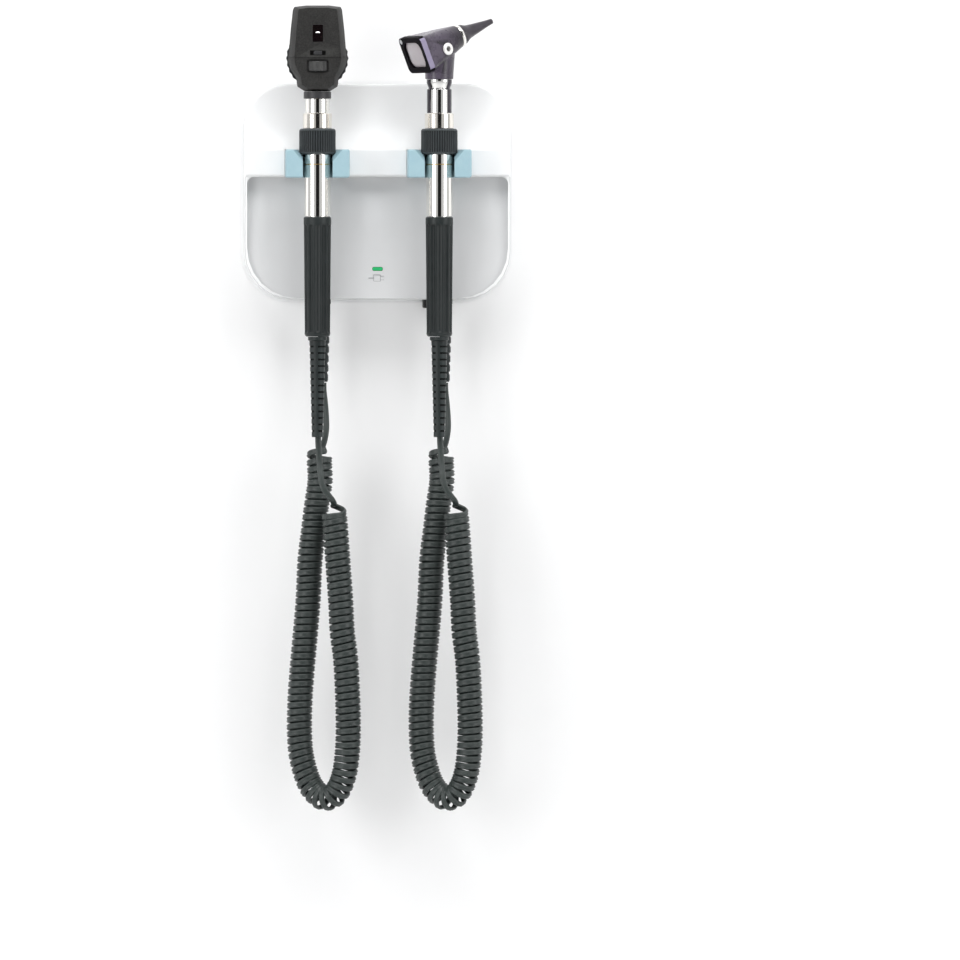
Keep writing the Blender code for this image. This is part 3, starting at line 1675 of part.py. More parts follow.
def make_face(head, front, rear):
    """What shows on the patient's side, and the sight hole and brow rest behind."""
    face = -OPH_FRONT_DEPTH
    low, high = WINDOW_LEVEL - WINDOW_HEIGHT / 2, WINDOW_LEVEL + WINDOW_HEIGHT / 2
    pocket = block(
        "ophthalmoscope_window_cutter",
        (-WINDOW_WIDTH / 2 - GAP, face - 3 * PASS, low - GAP),
        (WINDOW_WIDTH / 2 + GAP, face + WINDOW_DEPTH + 2 * GAP, high + GAP),
        grey_plastic(),
        parent=head,
    )
    chamber = block(
        "ophthalmoscope_mirror_room_cutter",
        (-WINDOW_WIDTH / 2 + WINDOW_LEDGE, face, low + WINDOW_LEDGE),
        (WINDOW_WIDTH / 2 - WINDOW_LEDGE, OPH_PARTING - 4 * MM, high - WINDOW_LEDGE),
        grey_plastic(),
        parent=head,
    )
    sight = rod(
        "ophthalmoscope_sight_cutter",
        SIGHT_RADIUS,
        -5 * MM,
        OPH_BACK_DEPTH + PASS,
        grey_plastic(),
        sides=12,
        parent=head,
        at=(0, 0, WINDOW_LEVEL),
        turn=(math.radians(-90), 0, 0),
    )
    cut(front, pocket, chamber, sight)
    cut(rear, sight)
    block(
        "ophthalmoscope_window",
        (-WINDOW_WIDTH / 2, face + GAP, low),
        (WINDOW_WIDTH / 2, face + GAP + WINDOW_DEPTH, high),
        glass(),
        parent=head,
    )
    half = WINDOW_WIDTH / 2 - WINDOW_LEDGE - GAP
    mirror_low, mirror_high = low + WINDOW_LEDGE + GAP, WINDOW_LEVEL - SIGHT_RADIUS - GAP
    skinned(
        "ophthalmoscope_mirror",
        [
            [
                (x, face + 3 * MM, mirror_low),
                (x, face + 10 * MM, mirror_low),
                (x, face + 10 * MM, mirror_high),
                (x, face + 8.4 * MM, mirror_high),
            ]
            for x in (-half, half)
        ],
        chrome(),
        parent=head,
    )
    slot = block(
        "ophthalmoscope_filter_slot_cutter",
        (-FILTER_WIDTH / 2, face - 3 * PASS, FILTER_LEVEL - FILTER_HEIGHT / 2),
        (FILTER_WIDTH / 2, face + FILTER_DEPTH, FILTER_LEVEL + FILTER_HEIGHT / 2),
        grey_plastic(),
        parent=head,
    )
    slider_half = FILTER_WIDTH / 2 - FILTER_TRAVEL - GAP
    slider = block(
        "ophthalmoscope_filter_slide",
        (-slider_half, face - 0.7 * MM, FILTER_LEVEL - FILTER_HEIGHT / 2 + GAP),
        (slider_half, face + FILTER_DEPTH - GAP, FILTER_LEVEL + FILTER_HEIGHT / 2 - GAP),
        black_plastic(),
        parent=head,
    )
    soften(slider, 0.4 * MM, 1)
    make_dial(head, front, face)
    cut(front, slot)
    return turned(
        "ophthalmoscope_brow_rest",
        [
            (SIGHT_RADIUS + 0.8 * MM, 0),
            (8.5 * MM, 0),
            (8.5 * MM, 1.6 * MM),
            (7.4 * MM, 2.8 * MM),
            (SIGHT_RADIUS + 2.4 * MM, 1.4 * MM),
        ],
        dark_rubber(),
        sides=24,
        parent=head,
        at=(0, OPH_BACK_DEPTH + GAP, WINDOW_LEVEL),
        turn=(math.radians(-90), 0, 0),
    )


def make_dial(head, front, face):
    """The aperture drum behind its window, turned by the edge that stands proud."""
    depth = face + DIAL_INSET
    stub = 1.6 * MM
    room = turned(
        "ophthalmoscope_dial_room_cutter",
        [
            (0, -DIAL_HEIGHT / 2 - 2.2 * MM),
            (stub + GAP, -DIAL_HEIGHT / 2 - 2.2 * MM),
            (stub + GAP, -DIAL_HEIGHT / 2 - FIT),
            (DIAL_RADIUS + FIT, -DIAL_HEIGHT / 2 - FIT),
            (DIAL_RADIUS + FIT, DIAL_HEIGHT / 2 + FIT),
            (stub + GAP, DIAL_HEIGHT / 2 + FIT),
            (stub + GAP, DIAL_HEIGHT / 2 + 2.2 * MM),
            (0, DIAL_HEIGHT / 2 + 2.2 * MM),
        ],
        grey_plastic(),
        parent=head,
        at=(0, depth, DIAL_LEVEL),
    )
    frame = prism(
        "ophthalmoscope_dial_frame_cutter",
        rounded(DIAL_FRAME_WIDTH, DIAL_FRAME_HEIGHT, 2.2 * MM, 3, (0, DIAL_LEVEL)),
        face - 3 * PASS,
        face + 0.9 * MM,
        grey_plastic(),
        parent=head,
    )
    cut(front, frame, room)
    outline = ribbed(DIAL_RADIUS, DIAL_RIBS, 0.5 * MM)
    count = len(outline)
    rings = []
    for scale, level, is_stub in (
        (0, -DIAL_HEIGHT / 2 - 1.8 * MM, True),
        (0, -DIAL_HEIGHT / 2, True),
        (0.95, -DIAL_HEIGHT / 2, False),
        (1, -DIAL_HEIGHT / 2 + 0.6 * MM, False),
        (1, DIAL_HEIGHT / 2 - 0.6 * MM, False),
        (0.95, DIAL_HEIGHT / 2, False),
        (0, DIAL_HEIGHT / 2, True),
        (0, DIAL_HEIGHT / 2 + 1.8 * MM, True),
    ):
        ring = []
        for index, (x, y) in enumerate(outline):
            angle = math.tau * index / count
            if is_stub:
                ring.append((stub * math.cos(angle), stub * math.sin(angle), level))
            else:
                ring.append((x * scale, y * scale, level))
        rings.append(ring)
    return skinned(
        "ophthalmoscope_aperture_dial",
        rings,
        dark_rubber(),
        parent=head,
        at=(0, depth, DIAL_LEVEL),
    )


def make_ophthalmoscope_lamp(head, front, base):
    """The lamp stands in a bore below the mirror; it changes from the socket end."""
    low = base - OPH_SOCKET_HEIGHT + SPIGOT_HEIGHT + 4 * MM
    bore = rod(
        "ophthalmoscope_lamp_bore_cutter",
        LAMP_RADIUS + GAP,
        base,
        base + 19 * MM,
        grey_plastic(),
        parent=head,
        at=(0, -OPH_LAMP_FORWARD, 0),
    )
    cut(front, bore)
    turned(
        "ophthalmoscope_lamp",
        [
            (0, low),
            (LAMP_RADIUS * 0.9, low),
            (LAMP_RADIUS * 0.9, low + 8 * MM),
            (LAMP_RADIUS * 0.6, low + 9 * MM),
            (0, low + 13 * MM),
        ],
        glass(),
        sides=16,
        parent=head,
        at=(0, -OPH_LAMP_FORWARD, 0),
    )


# ---------------------------------------------------------------- cords

# Both cords hang the same way.
# In millimetres. The first two are measured from the end of the unit's gland.
WALL_TAIL = [
    (0.0, 0.0, -0.7),
    (0.2, -0.4, -7.8),
    (1.3, -3.5, -18.8),
    (2.1, -8.0, -30.8),
    (2.1, -12.5, -41.8),
    (0.2, -16.0, -52.8),
    (-2.7, -18.4, -62.3),
]
COIL_ROUTE = [
    (-3.9, -18.5, -65.3),
    (-3.5, -19.0, -86.8),
    (-6.6, -19.0, -108.8),
    (-9.2, -19.0, -130.8),
    (-12.3, -19.0, -156.8),
    (-14.0, -18.8, -192.3),
    (-16.2, -18.6, -218.8),
    (-19.3, -18.4, -253.8),
    (-21.1, -18.2, -280.3),
    (-21.5, -18.2, -306.8),
    (-19.8, -18.6, -328.8),
    (-13.6, -20.6, -350.8),
    (-5.7, -23.4, -362.1),
    (1.4, -27.2, -365.6),
    (9.3, -31.0, -362.1),
    (15.4, -34.0, -350.8),
    (19.0, -36.4, -334.8),
    (20.7, -38.4, -310.8),
    (20.3, -39.6, -280.3),
    (18.5, -40.0, -244.8),
    (15.4, -40.2, -218.8),
    (14.1, -40.2, -192.3),
    (11.5, -40.2, -156.8),
    (9.7, -40.0, -130.8),
    (8.5, -40.0, -115.8),
]
# From the end of the handle's strain relief, and then from the coil's upper end.
TAIL_TOP = [
    (0.6, 0.0, -0.7),
    (0.9, -0.4, -8.1),
    (1.6, -2.2, -18.1),
    (2.2, -5.4, -27.6),
    (3.0, -8.6, -36.1),
    (5.4, -11.0, -45.1),
]
TAIL_LOW = [
    (-5.2, -11.0, 15.8),
    (-1.6, -8.0, 11.4),
    (-0.2, -3.4, 7.4),
    (0.0, -0.4, 4.6),
    (0.0, 0.0, 1.8),
]


def placed(route, start):
    """A route's points moved to where it starts."""
    return [Vector(start) + Vector(point) * MM for point in route]


def make_cord(side, x):
    """One curly cord in three runs: from the unit's gland, through the coil, to the handle."""
    gland = (x + GLAND_OFFSET, -GLAND_DEPTH, gland_end())
    coil = placed(COIL_ROUTE, gland)
    tail = placed(TAIL_TOP, (x, -AXIS_DEPTH, relief_end())) + placed(TAIL_LOW, coil[-1])
    for name, route, radius, step in (
        ("wall_tail", placed(WALL_TAIL, gland), CORD_RADIUS, 6 * CORD_RADIUS),
        ("coil", coil, COIL_RADIUS, 1.5 * COIL_RADIUS),
        ("handle_tail", tail, CORD_RADIUS, 4.8 * CORD_RADIUS),
    ):
        tube(f"{side}_cord_{name}", smooth_line(route, step), radius, dark_rubber(), 2)


# ---------------------------------------------------------------- the whole set


def main():
    """Clears the scene and makes every piece."""
    for old in list(bpy.data.objects):
        bpy.data.objects.remove(old, do_unlink=True)
    make_back_plate()
    make_cover()
    make_transformer()
    make_supply()
    for side, x in axes():
        make_cradle(side, x)
        make_gland(side, x)
        handle = axis_at(f"{side}_handle_axis", (x, -AXIS_DEPTH, 0))
        make_handle(side, handle)
        if side == "otoscope":
            make_otoscope_head(handle)
        else:
            make_ophthalmoscope_head(handle)
        make_cord(side, x)


main()
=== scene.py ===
import json
import math

import bpy
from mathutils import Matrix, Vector

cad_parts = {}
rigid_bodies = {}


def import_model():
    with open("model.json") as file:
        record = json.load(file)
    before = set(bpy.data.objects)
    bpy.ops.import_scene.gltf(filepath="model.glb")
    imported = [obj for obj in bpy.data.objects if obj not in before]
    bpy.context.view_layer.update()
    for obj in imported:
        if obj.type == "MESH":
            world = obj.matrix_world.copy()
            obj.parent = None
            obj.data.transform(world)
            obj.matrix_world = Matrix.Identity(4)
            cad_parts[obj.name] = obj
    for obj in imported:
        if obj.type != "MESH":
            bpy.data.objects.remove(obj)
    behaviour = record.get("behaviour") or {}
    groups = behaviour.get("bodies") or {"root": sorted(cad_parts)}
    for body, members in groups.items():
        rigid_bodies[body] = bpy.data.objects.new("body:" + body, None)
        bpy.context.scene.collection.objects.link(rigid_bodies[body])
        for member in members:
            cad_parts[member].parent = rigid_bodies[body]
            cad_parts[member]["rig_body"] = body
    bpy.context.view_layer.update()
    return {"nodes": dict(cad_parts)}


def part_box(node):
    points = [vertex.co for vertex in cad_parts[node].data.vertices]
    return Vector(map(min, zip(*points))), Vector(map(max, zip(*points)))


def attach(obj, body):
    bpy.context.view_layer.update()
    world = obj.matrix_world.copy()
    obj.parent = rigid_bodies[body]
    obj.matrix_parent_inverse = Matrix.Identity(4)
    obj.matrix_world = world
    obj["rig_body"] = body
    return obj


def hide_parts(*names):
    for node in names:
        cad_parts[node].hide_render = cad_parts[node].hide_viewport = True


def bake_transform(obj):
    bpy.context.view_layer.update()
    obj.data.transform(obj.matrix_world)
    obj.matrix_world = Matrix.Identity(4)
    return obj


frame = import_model()
scene = bpy.context.scene
print("frame loaded:", len(frame["nodes"]), "nodes")

sides = {"otoscope": 0.0535, "ophthalmoscope": -0.0535}  # each handle's axis in X
axisDepth = -0.069

view = {
    "across": 0.0914, "height": -0.2535, "distance": 24.0, "width": 0.845, "fromLeft": 1.8,
    "sensor": 36, "reach": 90,
}
turnLeft = math.radians(view["fromLeft"])
bpy.ops.object.camera_add(
    location=(
        view["across"] - view["distance"] * math.sin(turnLeft),
        -view["distance"] * math.cos(turnLeft),
        view["height"],
    ),
    rotation=(math.radians(90), 0, -turnLeft),
)
camera = bpy.context.object
camera.name = "roomCamera"
camera.data.sensor_width = view["sensor"]
camera.data.lens = view["sensor"] * view["distance"] / view["width"]
camera.data.clip_end = view["reach"]
scene.camera = camera


def newGroup(name, inputs, outputs):
    # an effect that several materials share
    group = bpy.data.node_groups.new(name, "ShaderNodeTree")
    for label, kind, value in inputs:
        socket = group.interface.new_socket(label, in_out="INPUT", socket_type=kind)
        socket.default_value = value
    for label, kind in outputs:
        group.interface.new_socket(label, in_out="OUTPUT", socket_type=kind)
    return group, group.nodes.new("NodeGroupInput"), group.nodes.new("NodeGroupOutput")


def makeGrainGroup():
    # fine moulded texture: two sizes of noise, mixed to one height
    group, given, result = newGroup(
        "mouldGrain",
        [
            ("Vector", "NodeSocketVector", (0, 0, 0)),
            ("Scale", "NodeSocketFloat", 900.0),
            ("Coarse", "NodeSocketFloat", 0.35),
        ],
        [("Height", "NodeSocketFloat")],
    )
    nodes, links = group.nodes, group.links
    fine = nodes.new("ShaderNodeTexNoise")
    fine.inputs["Detail"].default_value = 3
    broad = nodes.new("ShaderNodeTexNoise")
    broad.inputs["Detail"].default_value = 2
    wider = nodes.new("ShaderNodeMath")
    wider.operation = "MULTIPLY"
    wider.inputs[1].default_value = 0.22  # the broad noise is this much coarser
    mix = nodes.new("ShaderNodeMix")
    links.new(given.outputs["Vector"], fine.inputs["Vector"])
    links.new(given.outputs["Vector"], broad.inputs["Vector"])
    links.new(given.outputs["Scale"], fine.inputs["Scale"])
    links.new(given.outputs["Scale"], wider.inputs[0])
    links.new(wider.outputs[0], broad.inputs["Scale"])
    links.new(given.outputs["Coarse"], mix.inputs["Factor"])
    links.new(fine.outputs[0], mix.inputs["A"])
    links.new(broad.outputs[0], mix.inputs["B"])
    links.new(mix.outputs["Result"], result.inputs["Height"])
    return group


def makeHandlingGroup():
    # where hands and cloths have been: roughness drifts slowly between two values
    group, given, result = newGroup(
        "handling",
        [
            ("Vector", "NodeSocketVector", (0, 0, 0)),
            ("Scale", "NodeSocketFloat", 40.0),
            ("Low", "NodeSocketFloat", 0.3),
            ("High", "NodeSocketFloat", 0.5),
        ],
        [("Roughness", "NodeSocketFloat"), ("Mask", "NodeSocketFloat")],
    )
    nodes, links = group.nodes, group.links
    drift = nodes.new("ShaderNodeTexNoise")
    drift.inputs["Detail"].default_value = 5
    drift.inputs["Roughness"].default_value = 0.62
    spread = nodes.new("ShaderNodeMapRange")
    spread.inputs["From Min"].default_value = 0.3
    spread.inputs["From Max"].default_value = 0.7
    links.new(given.outputs["Vector"], drift.inputs["Vector"])
    links.new(given.outputs["Scale"], drift.inputs["Scale"])
    links.new(drift.outputs[0], spread.inputs["Value"])
    links.new(given.outputs["Low"], spread.inputs["To Min"])
    links.new(given.outputs["High"], spread.inputs["To Max"])
    mask = nodes.new("ShaderNodeMapRange")
    mask.inputs["From Min"].default_value = 0.35
    mask.inputs["From Max"].default_value = 0.65
    links.new(drift.outputs[0], mask.inputs["Value"])
    links.new(spread.outputs[0], result.inputs["Roughness"])
    links.new(mask.outputs[0], result.inputs["Mask"])
    return group


def makePaintedEdgeGroup():
    # convex edges: pointiness gives a thin line, broken up by noise; the finishes colour it as a painted
    # highlight, or as painted shade where the line is darker
    group, given, result = newGroup(
        "paintedEdgeLine",
        [
            ("Vector", "NodeSocketVector", (0, 0, 0)),
            ("Scale", "NodeSocketFloat", 220.0),
            ("Amount", "NodeSocketFloat", 0.5),
        ],
        [("Mask", "NodeSocketFloat")],
    )
    nodes, links = group.nodes, group.links
    shape = nodes.new("ShaderNodeNewGeometry")
    sharp = nodes.new("ShaderNodeMapRange")
    sharp.inputs["From Min"].default_value = 0.52
    sharp.inputs["From Max"].default_value = 0.6
    broken = nodes.new("ShaderNodeTexNoise")
    both = nodes.new("ShaderNodeMath")
    both.operation = "MULTIPLY"
    share = nodes.new("ShaderNodeMath")
    share.operation = "MULTIPLY"
    links.new(shape.outputs["Pointiness"], sharp.inputs["Value"])
    links.new(given.outputs["Vector"], broken.inputs["Vector"])
    links.new(given.outputs["Scale"], broken.inputs["Scale"])
    links.new(sharp.outputs[0], both.inputs[0])
    links.new(broken.outputs[0], both.inputs[1])
    links.new(both.outputs[0], share.inputs[0])
    links.new(given.outputs["Amount"], share.inputs[1])
    links.new(share.outputs[0], result.inputs["Mask"])
    return group


grainGroup = makeGrainGroup()
handlingGroup = makeHandlingGroup()
paintedEdgeGroup = makePaintedEdgeGroup()


def addGroup(material, group, vector, **values):
    node = material.node_tree.nodes.new("ShaderNodeGroup")
    node.node_tree = group
    material.node_tree.links.new(vector, node.inputs["Vector"])
    for name, value in values.items():
        node.inputs[name].default_value = value
    return node


def mixColour(material, factor, first, second):
    # each is a colour or an output
    node = material.node_tree.nodes.new("ShaderNodeMix")
    node.data_type = "RGBA"
    for socket, value in (("A", first), ("B", second)):
        if isinstance(value, tuple):
            node.inputs[socket].default_value = (*value, 1)
        else:
            material.node_tree.links.new(value, node.inputs[socket])
    material.node_tree.links.new(factor, node.inputs["Factor"])
    return node.outputs["Result"]


def ramp(material, value, start, end):
    node = material.node_tree.nodes.new("ShaderNodeMapRange")
    node.inputs["From Min"].default_value, node.inputs["From Max"].default_value = start, end
    material.node_tree.links.new(value, node.inputs["Value"])
    return node.outputs[0]


def makeFinish(name, look):
    # one finish: colour that drifts a little, roughness from handling, relief from the mould
    material = bpy.data.materials.new(name)
    material.use_nodes = True
    nodes, links = material.node_tree.nodes, material.node_tree.links
    shader = nodes["Principled BSDF"]
    for socket, value in look.get("shader", {}).items():
        shader.inputs[socket].default_value = value
    where = nodes.new("ShaderNodeTexCoord").outputs["Object"]
    low, high = look["rough"]
    handling = addGroup(material, handlingGroup, where, Scale=look["drift"], Low=low, High=high)
    links.new(handling.outputs["Roughness"], shader.inputs["Roughness"])
    colour = mixColour(material, handling.outputs["Mask"], look["colour"], look["colourTo"])
    # painted light on edges: a lighter line is a painted highlight, a darker one painted shade
    if "edge" in look:
        paintedEdge = addGroup(material, paintedEdgeGroup, where, Amount=look.get("edgeAmount", 0.6))
        colour = mixColour(material, paintedEdge.outputs["Mask"], colour, look["edge"])
    if "paintedShadeFade" in look:
        # painted shade: the colour goes over to a darker one along X
        start, end, far = look["paintedShadeFade"]
        across = nodes.new("ShaderNodeSeparateXYZ")
        links.new(where, across.inputs[0])
        colour = mixColour(material, ramp(material, across.outputs["X"], start, end), colour, far)
    if "rim" in look:
        # painted reflection: darker where the surface turns away
        start, end, dark = look["rim"]
        facing = nodes.new("ShaderNodeLayerWeight").outputs["Facing"]
        colour = mixColour(material, ramp(material, facing, start, end), colour, dark)
    links.new(colour, shader.inputs["Base Color"])
    if "grain" in look:
        coarse = look["grain"][2] if len(look["grain"]) > 2 else 0.35
        grain = addGroup(material, grainGroup, where, Scale=look["grain"][0], Coarse=coarse)
        bump = nodes.new("ShaderNodeBump")
        bump.inputs["Strength"].default_value = look["grain"][1]
        bump.inputs["Distance"].default_value = 0.0002  # how deep the relief is
        links.new(grain.outputs["Height"], bump.inputs["Height"])
        links.new(bump.outputs["Normal"], shader.inputs["Normal"])
    return material


finishes = {
    "housingWhite": {
        "colour": (0.91, 0.915, 0.915), "colourTo": (0.88, 0.885, 0.89), "rough": (0.3, 0.38), "drift": 14,
        "grain": (1400, 0.05), "shader": {"Specular IOR Level": 0.4},
    },
    # painted shade: the housing's white, darkened for the recess under the brow
    "paintedPanelShade": {
        "colour": (0.68, 0.685, 0.69), "colourTo": (0.66, 0.665, 0.67), "rough": (0.3, 0.38), "drift": 14,
        "grain": (1400, 0.05), "shader": {"Specular IOR Level": 0.4},
    },
    "cradleBlue": {
        "colour": (0.333, 0.50, 0.558), "colourTo": (0.30, 0.466, 0.535), "rough": (0.3, 0.4), "drift": 60,
        "grain": (1600, 0.06), "edge": (0.5, 0.62, 0.66),
    },
    "collarRubber": {
        "colour": (0.030, 0.036, 0.039), "colourTo": (0.038, 0.045, 0.048), "rough": (0.5, 0.66),
        "drift": 90, "grain": (2200, 0.35), "edge": (0.12, 0.14, 0.15),
        "shader": {"Specular IOR Level": 0.4},
    },
    "gripRubber": {
        "colour": (0.010, 0.0135, 0.0135), "colourTo": (0.016, 0.020, 0.020), "rough": (0.34, 0.48),
        "drift": 60, "grain": (2200, 0.3), "edge": (0.08, 0.1, 0.1), "shader": {"Specular IOR Level": 0.28},
    },
    # painted shade: a darker, matt rubber for the faces inside grooves
    "paintedGrooveShade": {
        "colour": (0.012, 0.015, 0.016), "colourTo": (0.016, 0.019, 0.020), "rough": (0.6, 0.75),
        "drift": 90, "grain": (2200, 0.3), "shader": {"Specular IOR Level": 0.2},
    },
    # painted shade: near-black for the inside seen through slots
    "paintedSlotShade": {
        "colour": (0.003, 0.004, 0.004), "colourTo": (0.005, 0.006, 0.006), "rough": (0.6, 0.75),
        "drift": 90, "grain": (2200, 0.2), "shader": {"Specular IOR Level": 0.1},
    },
    "cordJacket": {
        "colour": (0.028, 0.036, 0.034), "colourTo": (0.036, 0.046, 0.043), "rough": (0.34, 0.48),
        "drift": 120, "grain": (1800, 0.12),
    },
    "polishedChrome": {
        "colour": (0.93, 0.915, 0.88), "colourTo": (0.9, 0.885, 0.85), "rough": (0.04, 0.1), "drift": 70,
        "grain": (900, 0.01), "shader": {"Metallic": 1.0},
    },
    # chrome with a painted dark reflection at its turned-away sides
    "rimChrome": {
        "colour": (0.93, 0.92, 0.9), "colourTo": (0.9, 0.89, 0.87), "rough": (0.04, 0.1), "drift": 70,
        "grain": (900, 0.01), "shader": {"Metallic": 1.0}, "rim": (0.22, 0.30, (0.06, 0.055, 0.065)),
    },
    "satinNickel": {
        "colour": (0.86, 0.82, 0.76), "colourTo": (0.82, 0.785, 0.73), "rough": (0.08, 0.15), "drift": 90,
        "grain": (1500, 0.02), "shader": {"Metallic": 1.0},
    },
    # black plastic with a painted purple-grey sheen in its colours, painted shade fading along X and painted
    # dark outlines on its edges
    "headBlackPaintedSheen": {
        "colour": (0.085, 0.069, 0.099), "colourTo": (0.14, 0.117, 0.163), "rough": (0.22, 0.34), "drift": 50,
        "grain": (900, 0.05, 0.6),
        "edge": (0.004, 0.003, 0.005), "edgeAmount": 1.6, "paintedShadeFade": (0.050, 0.074, (0.016, 0.013, 0.018)),
    },
    "frameBlack": {
        "colour": (0.006, 0.005, 0.007), "colourTo": (0.010, 0.009, 0.011), "rough": (0.45, 0.6),
        "drift": 80, "grain": (1400, 0.06), "shader": {"Specular IOR Level": 0.02},
    },
    # painted sheen: a lighter lavender for part of the black lens frame
    "paintedFrameSheen": {
        "colour": (0.20, 0.17, 0.27), "colourTo": (0.25, 0.22, 0.33), "rough": (0.3, 0.4), "drift": 60,
        "grain": (1400, 0.06),
    },
    "inletBlack": {
        "colour": (0.01, 0.01, 0.011), "colourTo": (0.014, 0.014, 0.015), "rough": (0.35, 0.5), "drift": 80,
        "grain": (1400, 0.1),
    },
    "speculumBlack": {
        "colour": (0.034, 0.029, 0.037), "colourTo": (0.045, 0.038, 0.049), "rough": (0.26, 0.38),
        "drift": 110, "grain": (1700, 0.08), "edge": (0.004, 0.003, 0.004), "edgeAmount": 1.2,
    },
    "scopeShell": {
        "colour": (0.014, 0.014, 0.0135), "colourTo": (0.032, 0.031, 0.030), "rough": (0.42, 0.56),
        "drift": 900, "grain": (1500, 0.5), "edge": (0.07, 0.07, 0.066),
        "shader": {"Specular IOR Level": 0.22},
    },
    "portWhite": {
        "colour": (0.9, 0.89, 0.87), "colourTo": (0.84, 0.83, 0.81), "rough": (0.3, 0.42), "drift": 200,
        "grain": (900, 0.03), "shader": {"Metallic": 0.5},
    },
    "wheelBlack": {
        "colour": (0.02, 0.02, 0.022), "colourTo": (0.03, 0.03, 0.032), "rough": (0.36, 0.5), "drift": 90,
        "grain": (1800, 0.15),
    },
    "dialGrey": {
        "colour": (0.026, 0.027, 0.027), "colourTo": (0.045, 0.045, 0.044), "rough": (0.5, 0.62),
        "drift": 200, "grain": (2000, 0.25),
    },
    "restRubber": {
        "colour": (0.018, 0.018, 0.019), "colourTo": (0.026, 0.026, 0.027), "rough": (0.6, 0.8),
        "drift": 90, "grain": (1600, 0.4),
    },
    "ceramicBuff": {
        "colour": (0.55, 0.50, 0.42), "colourTo": (0.48, 0.43, 0.36), "rough": (0.6, 0.8), "drift": 300,
        "grain": (1500, 0.3),
    },
    "contactBrass": {
        "colour": (0.80, 0.62, 0.30), "colourTo": (0.72, 0.53, 0.25), "rough": (0.2, 0.36), "drift": 200,
        "grain": (1200, 0.06), "shader": {"Metallic": 1.0},
    },
    "plainSteel": {
        "colour": (0.55, 0.56, 0.58), "colourTo": (0.48, 0.49, 0.5), "rough": (0.28, 0.45), "drift": 150,
        "grain": (1200, 0.1), "shader": {"Metallic": 1.0},
    },
    "windingCopper": {
        "colour": (0.66, 0.30, 0.15), "colourTo": (0.55, 0.22, 0.10), "rough": (0.3, 0.42), "drift": 90,
        "grain": (700, 0.4), "shader": {"Metallic": 0.8},
    },
    "boardGreen": {
        "colour": (0.02, 0.16, 0.07), "colourTo": (0.03, 0.2, 0.09), "rough": (0.34, 0.46), "drift": 200,
        "grain": (900, 0.1),
    },
    # painted glint: white with a glow, for a highlight on the viewing window
    "paintedGlintGlow": {
        "colour": (0.9, 0.9, 0.88), "colourTo": (0.86, 0.86, 0.84), "rough": (0.3, 0.4), "drift": 300,
        "grain": (1500, 0.02), "shader": {"Emission Color": (1, 1, 0.97, 1), "Emission Strength": 0.9},
    },
    "iconGrey": {
        "colour": (0.26, 0.27, 0.28), "colourTo": (0.3, 0.31, 0.32), "rough": (0.45, 0.6), "drift": 300,
        "grain": (1500, 0.05),
    },
    "lightGreen": {
        "colour": (0.03, 0.42, 0.14), "colourTo": (0.04, 0.47, 0.17), "rough": (0.2, 0.3), "drift": 200,
        "grain": (900, 0.05), "shader": {"Emission Color": (0.05, 0.6, 0.2, 1), "Emission Strength": 0.12},
    },
    "windowBlack": {
        "colour": (0.004, 0.002, 0.003), "colourTo": (0.006, 0.004, 0.004), "rough": (0.03, 0.07),
        "drift": 90, "grain": (400, 0.01), "shader": {"Coat Weight": 1.0, "Coat Roughness": 0.03},
    },
}
finish = {name: makeFinish(name, look) for name, look in finishes.items()}


def makeGlass(name, colour, rough, transmission):
    material = bpy.data.materials.new(name)
    material.use_nodes = True
    nodes, links = material.node_tree.nodes, material.node_tree.links
    shader = nodes["Principled BSDF"]
    shader.inputs["Transmission Weight"].default_value = transmission
    shader.inputs["IOR"].default_value = 1.5
    where = nodes.new("ShaderNodeTexCoord").outputs["Object"]
    handling = addGroup(material, handlingGroup, where, Scale=120.0, Low=rough, High=rough + 0.05)
    links.new(handling.outputs["Roughness"], shader.inputs["Roughness"])
    dusty = tuple(c * 0.94 for c in colour)
    links.new(mixColour(material, handling.outputs["Mask"], colour, dusty), shader.inputs["Base Color"])
    return material


finish["lensGlass"] = makeGlass("lensGlass", (0.72, 0.66, 0.69), 0.04, 0.45)
finish["lampGlass"] = makeGlass("lampGlass", (0.9, 0.9, 0.88), 0.05, 0.8)
print("finishes made:", len(finish))


def deselectAll():
    if bpy.context.object and bpy.context.object.mode != "OBJECT":
        bpy.ops.object.mode_set(mode="OBJECT")
    bpy.ops.object.select_all(action="DESELECT")


def makeActive(piece):
    deselectAll()
    piece.select_set(True)
    bpy.context.view_layer.objects.active = piece


def applyModifier(piece, kind, **values):
    makeActive(piece)
    modifier = piece.modifiers.new(kind.title(), kind)
    for name, value in values.items():
        setattr(modifier, name, value)
    bpy.ops.object.modifier_apply(modifier=modifier.name)


def pickVertices(piece, chosen):
    # edit mode, with only the vertices that are chosen by their place
    makeActive(piece)
    bpy.ops.object.mode_set(mode="EDIT")
    bpy.ops.mesh.select_mode(type="VERT")
    bpy.ops.mesh.select_all(action="DESELECT")
    bpy.ops.object.mode_set(mode="OBJECT")
    for vertex in piece.data.vertices:
        vertex.select = chosen(vertex.co)
    bpy.ops.object.mode_set(mode="EDIT")


def settle(piece, material, body, replaced=(), angle=38):
    # place into the mesh, smooth by angle, finish, and onto its body
    makeActive(piece)
    bpy.ops.object.transform_apply(location=True, rotation=True, scale=True)
    bpy.ops.object.shade_smooth_by_angle(angle=math.radians(angle))
    applyModifier(piece, "WEIGHTED_NORMAL", keep_sharp=True, weight=80)
    piece.data.materials.clear()
    piece.data.materials.append(finish[material])
    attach(piece, body)
    if replaced:
        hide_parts(*replaced)
    return piece


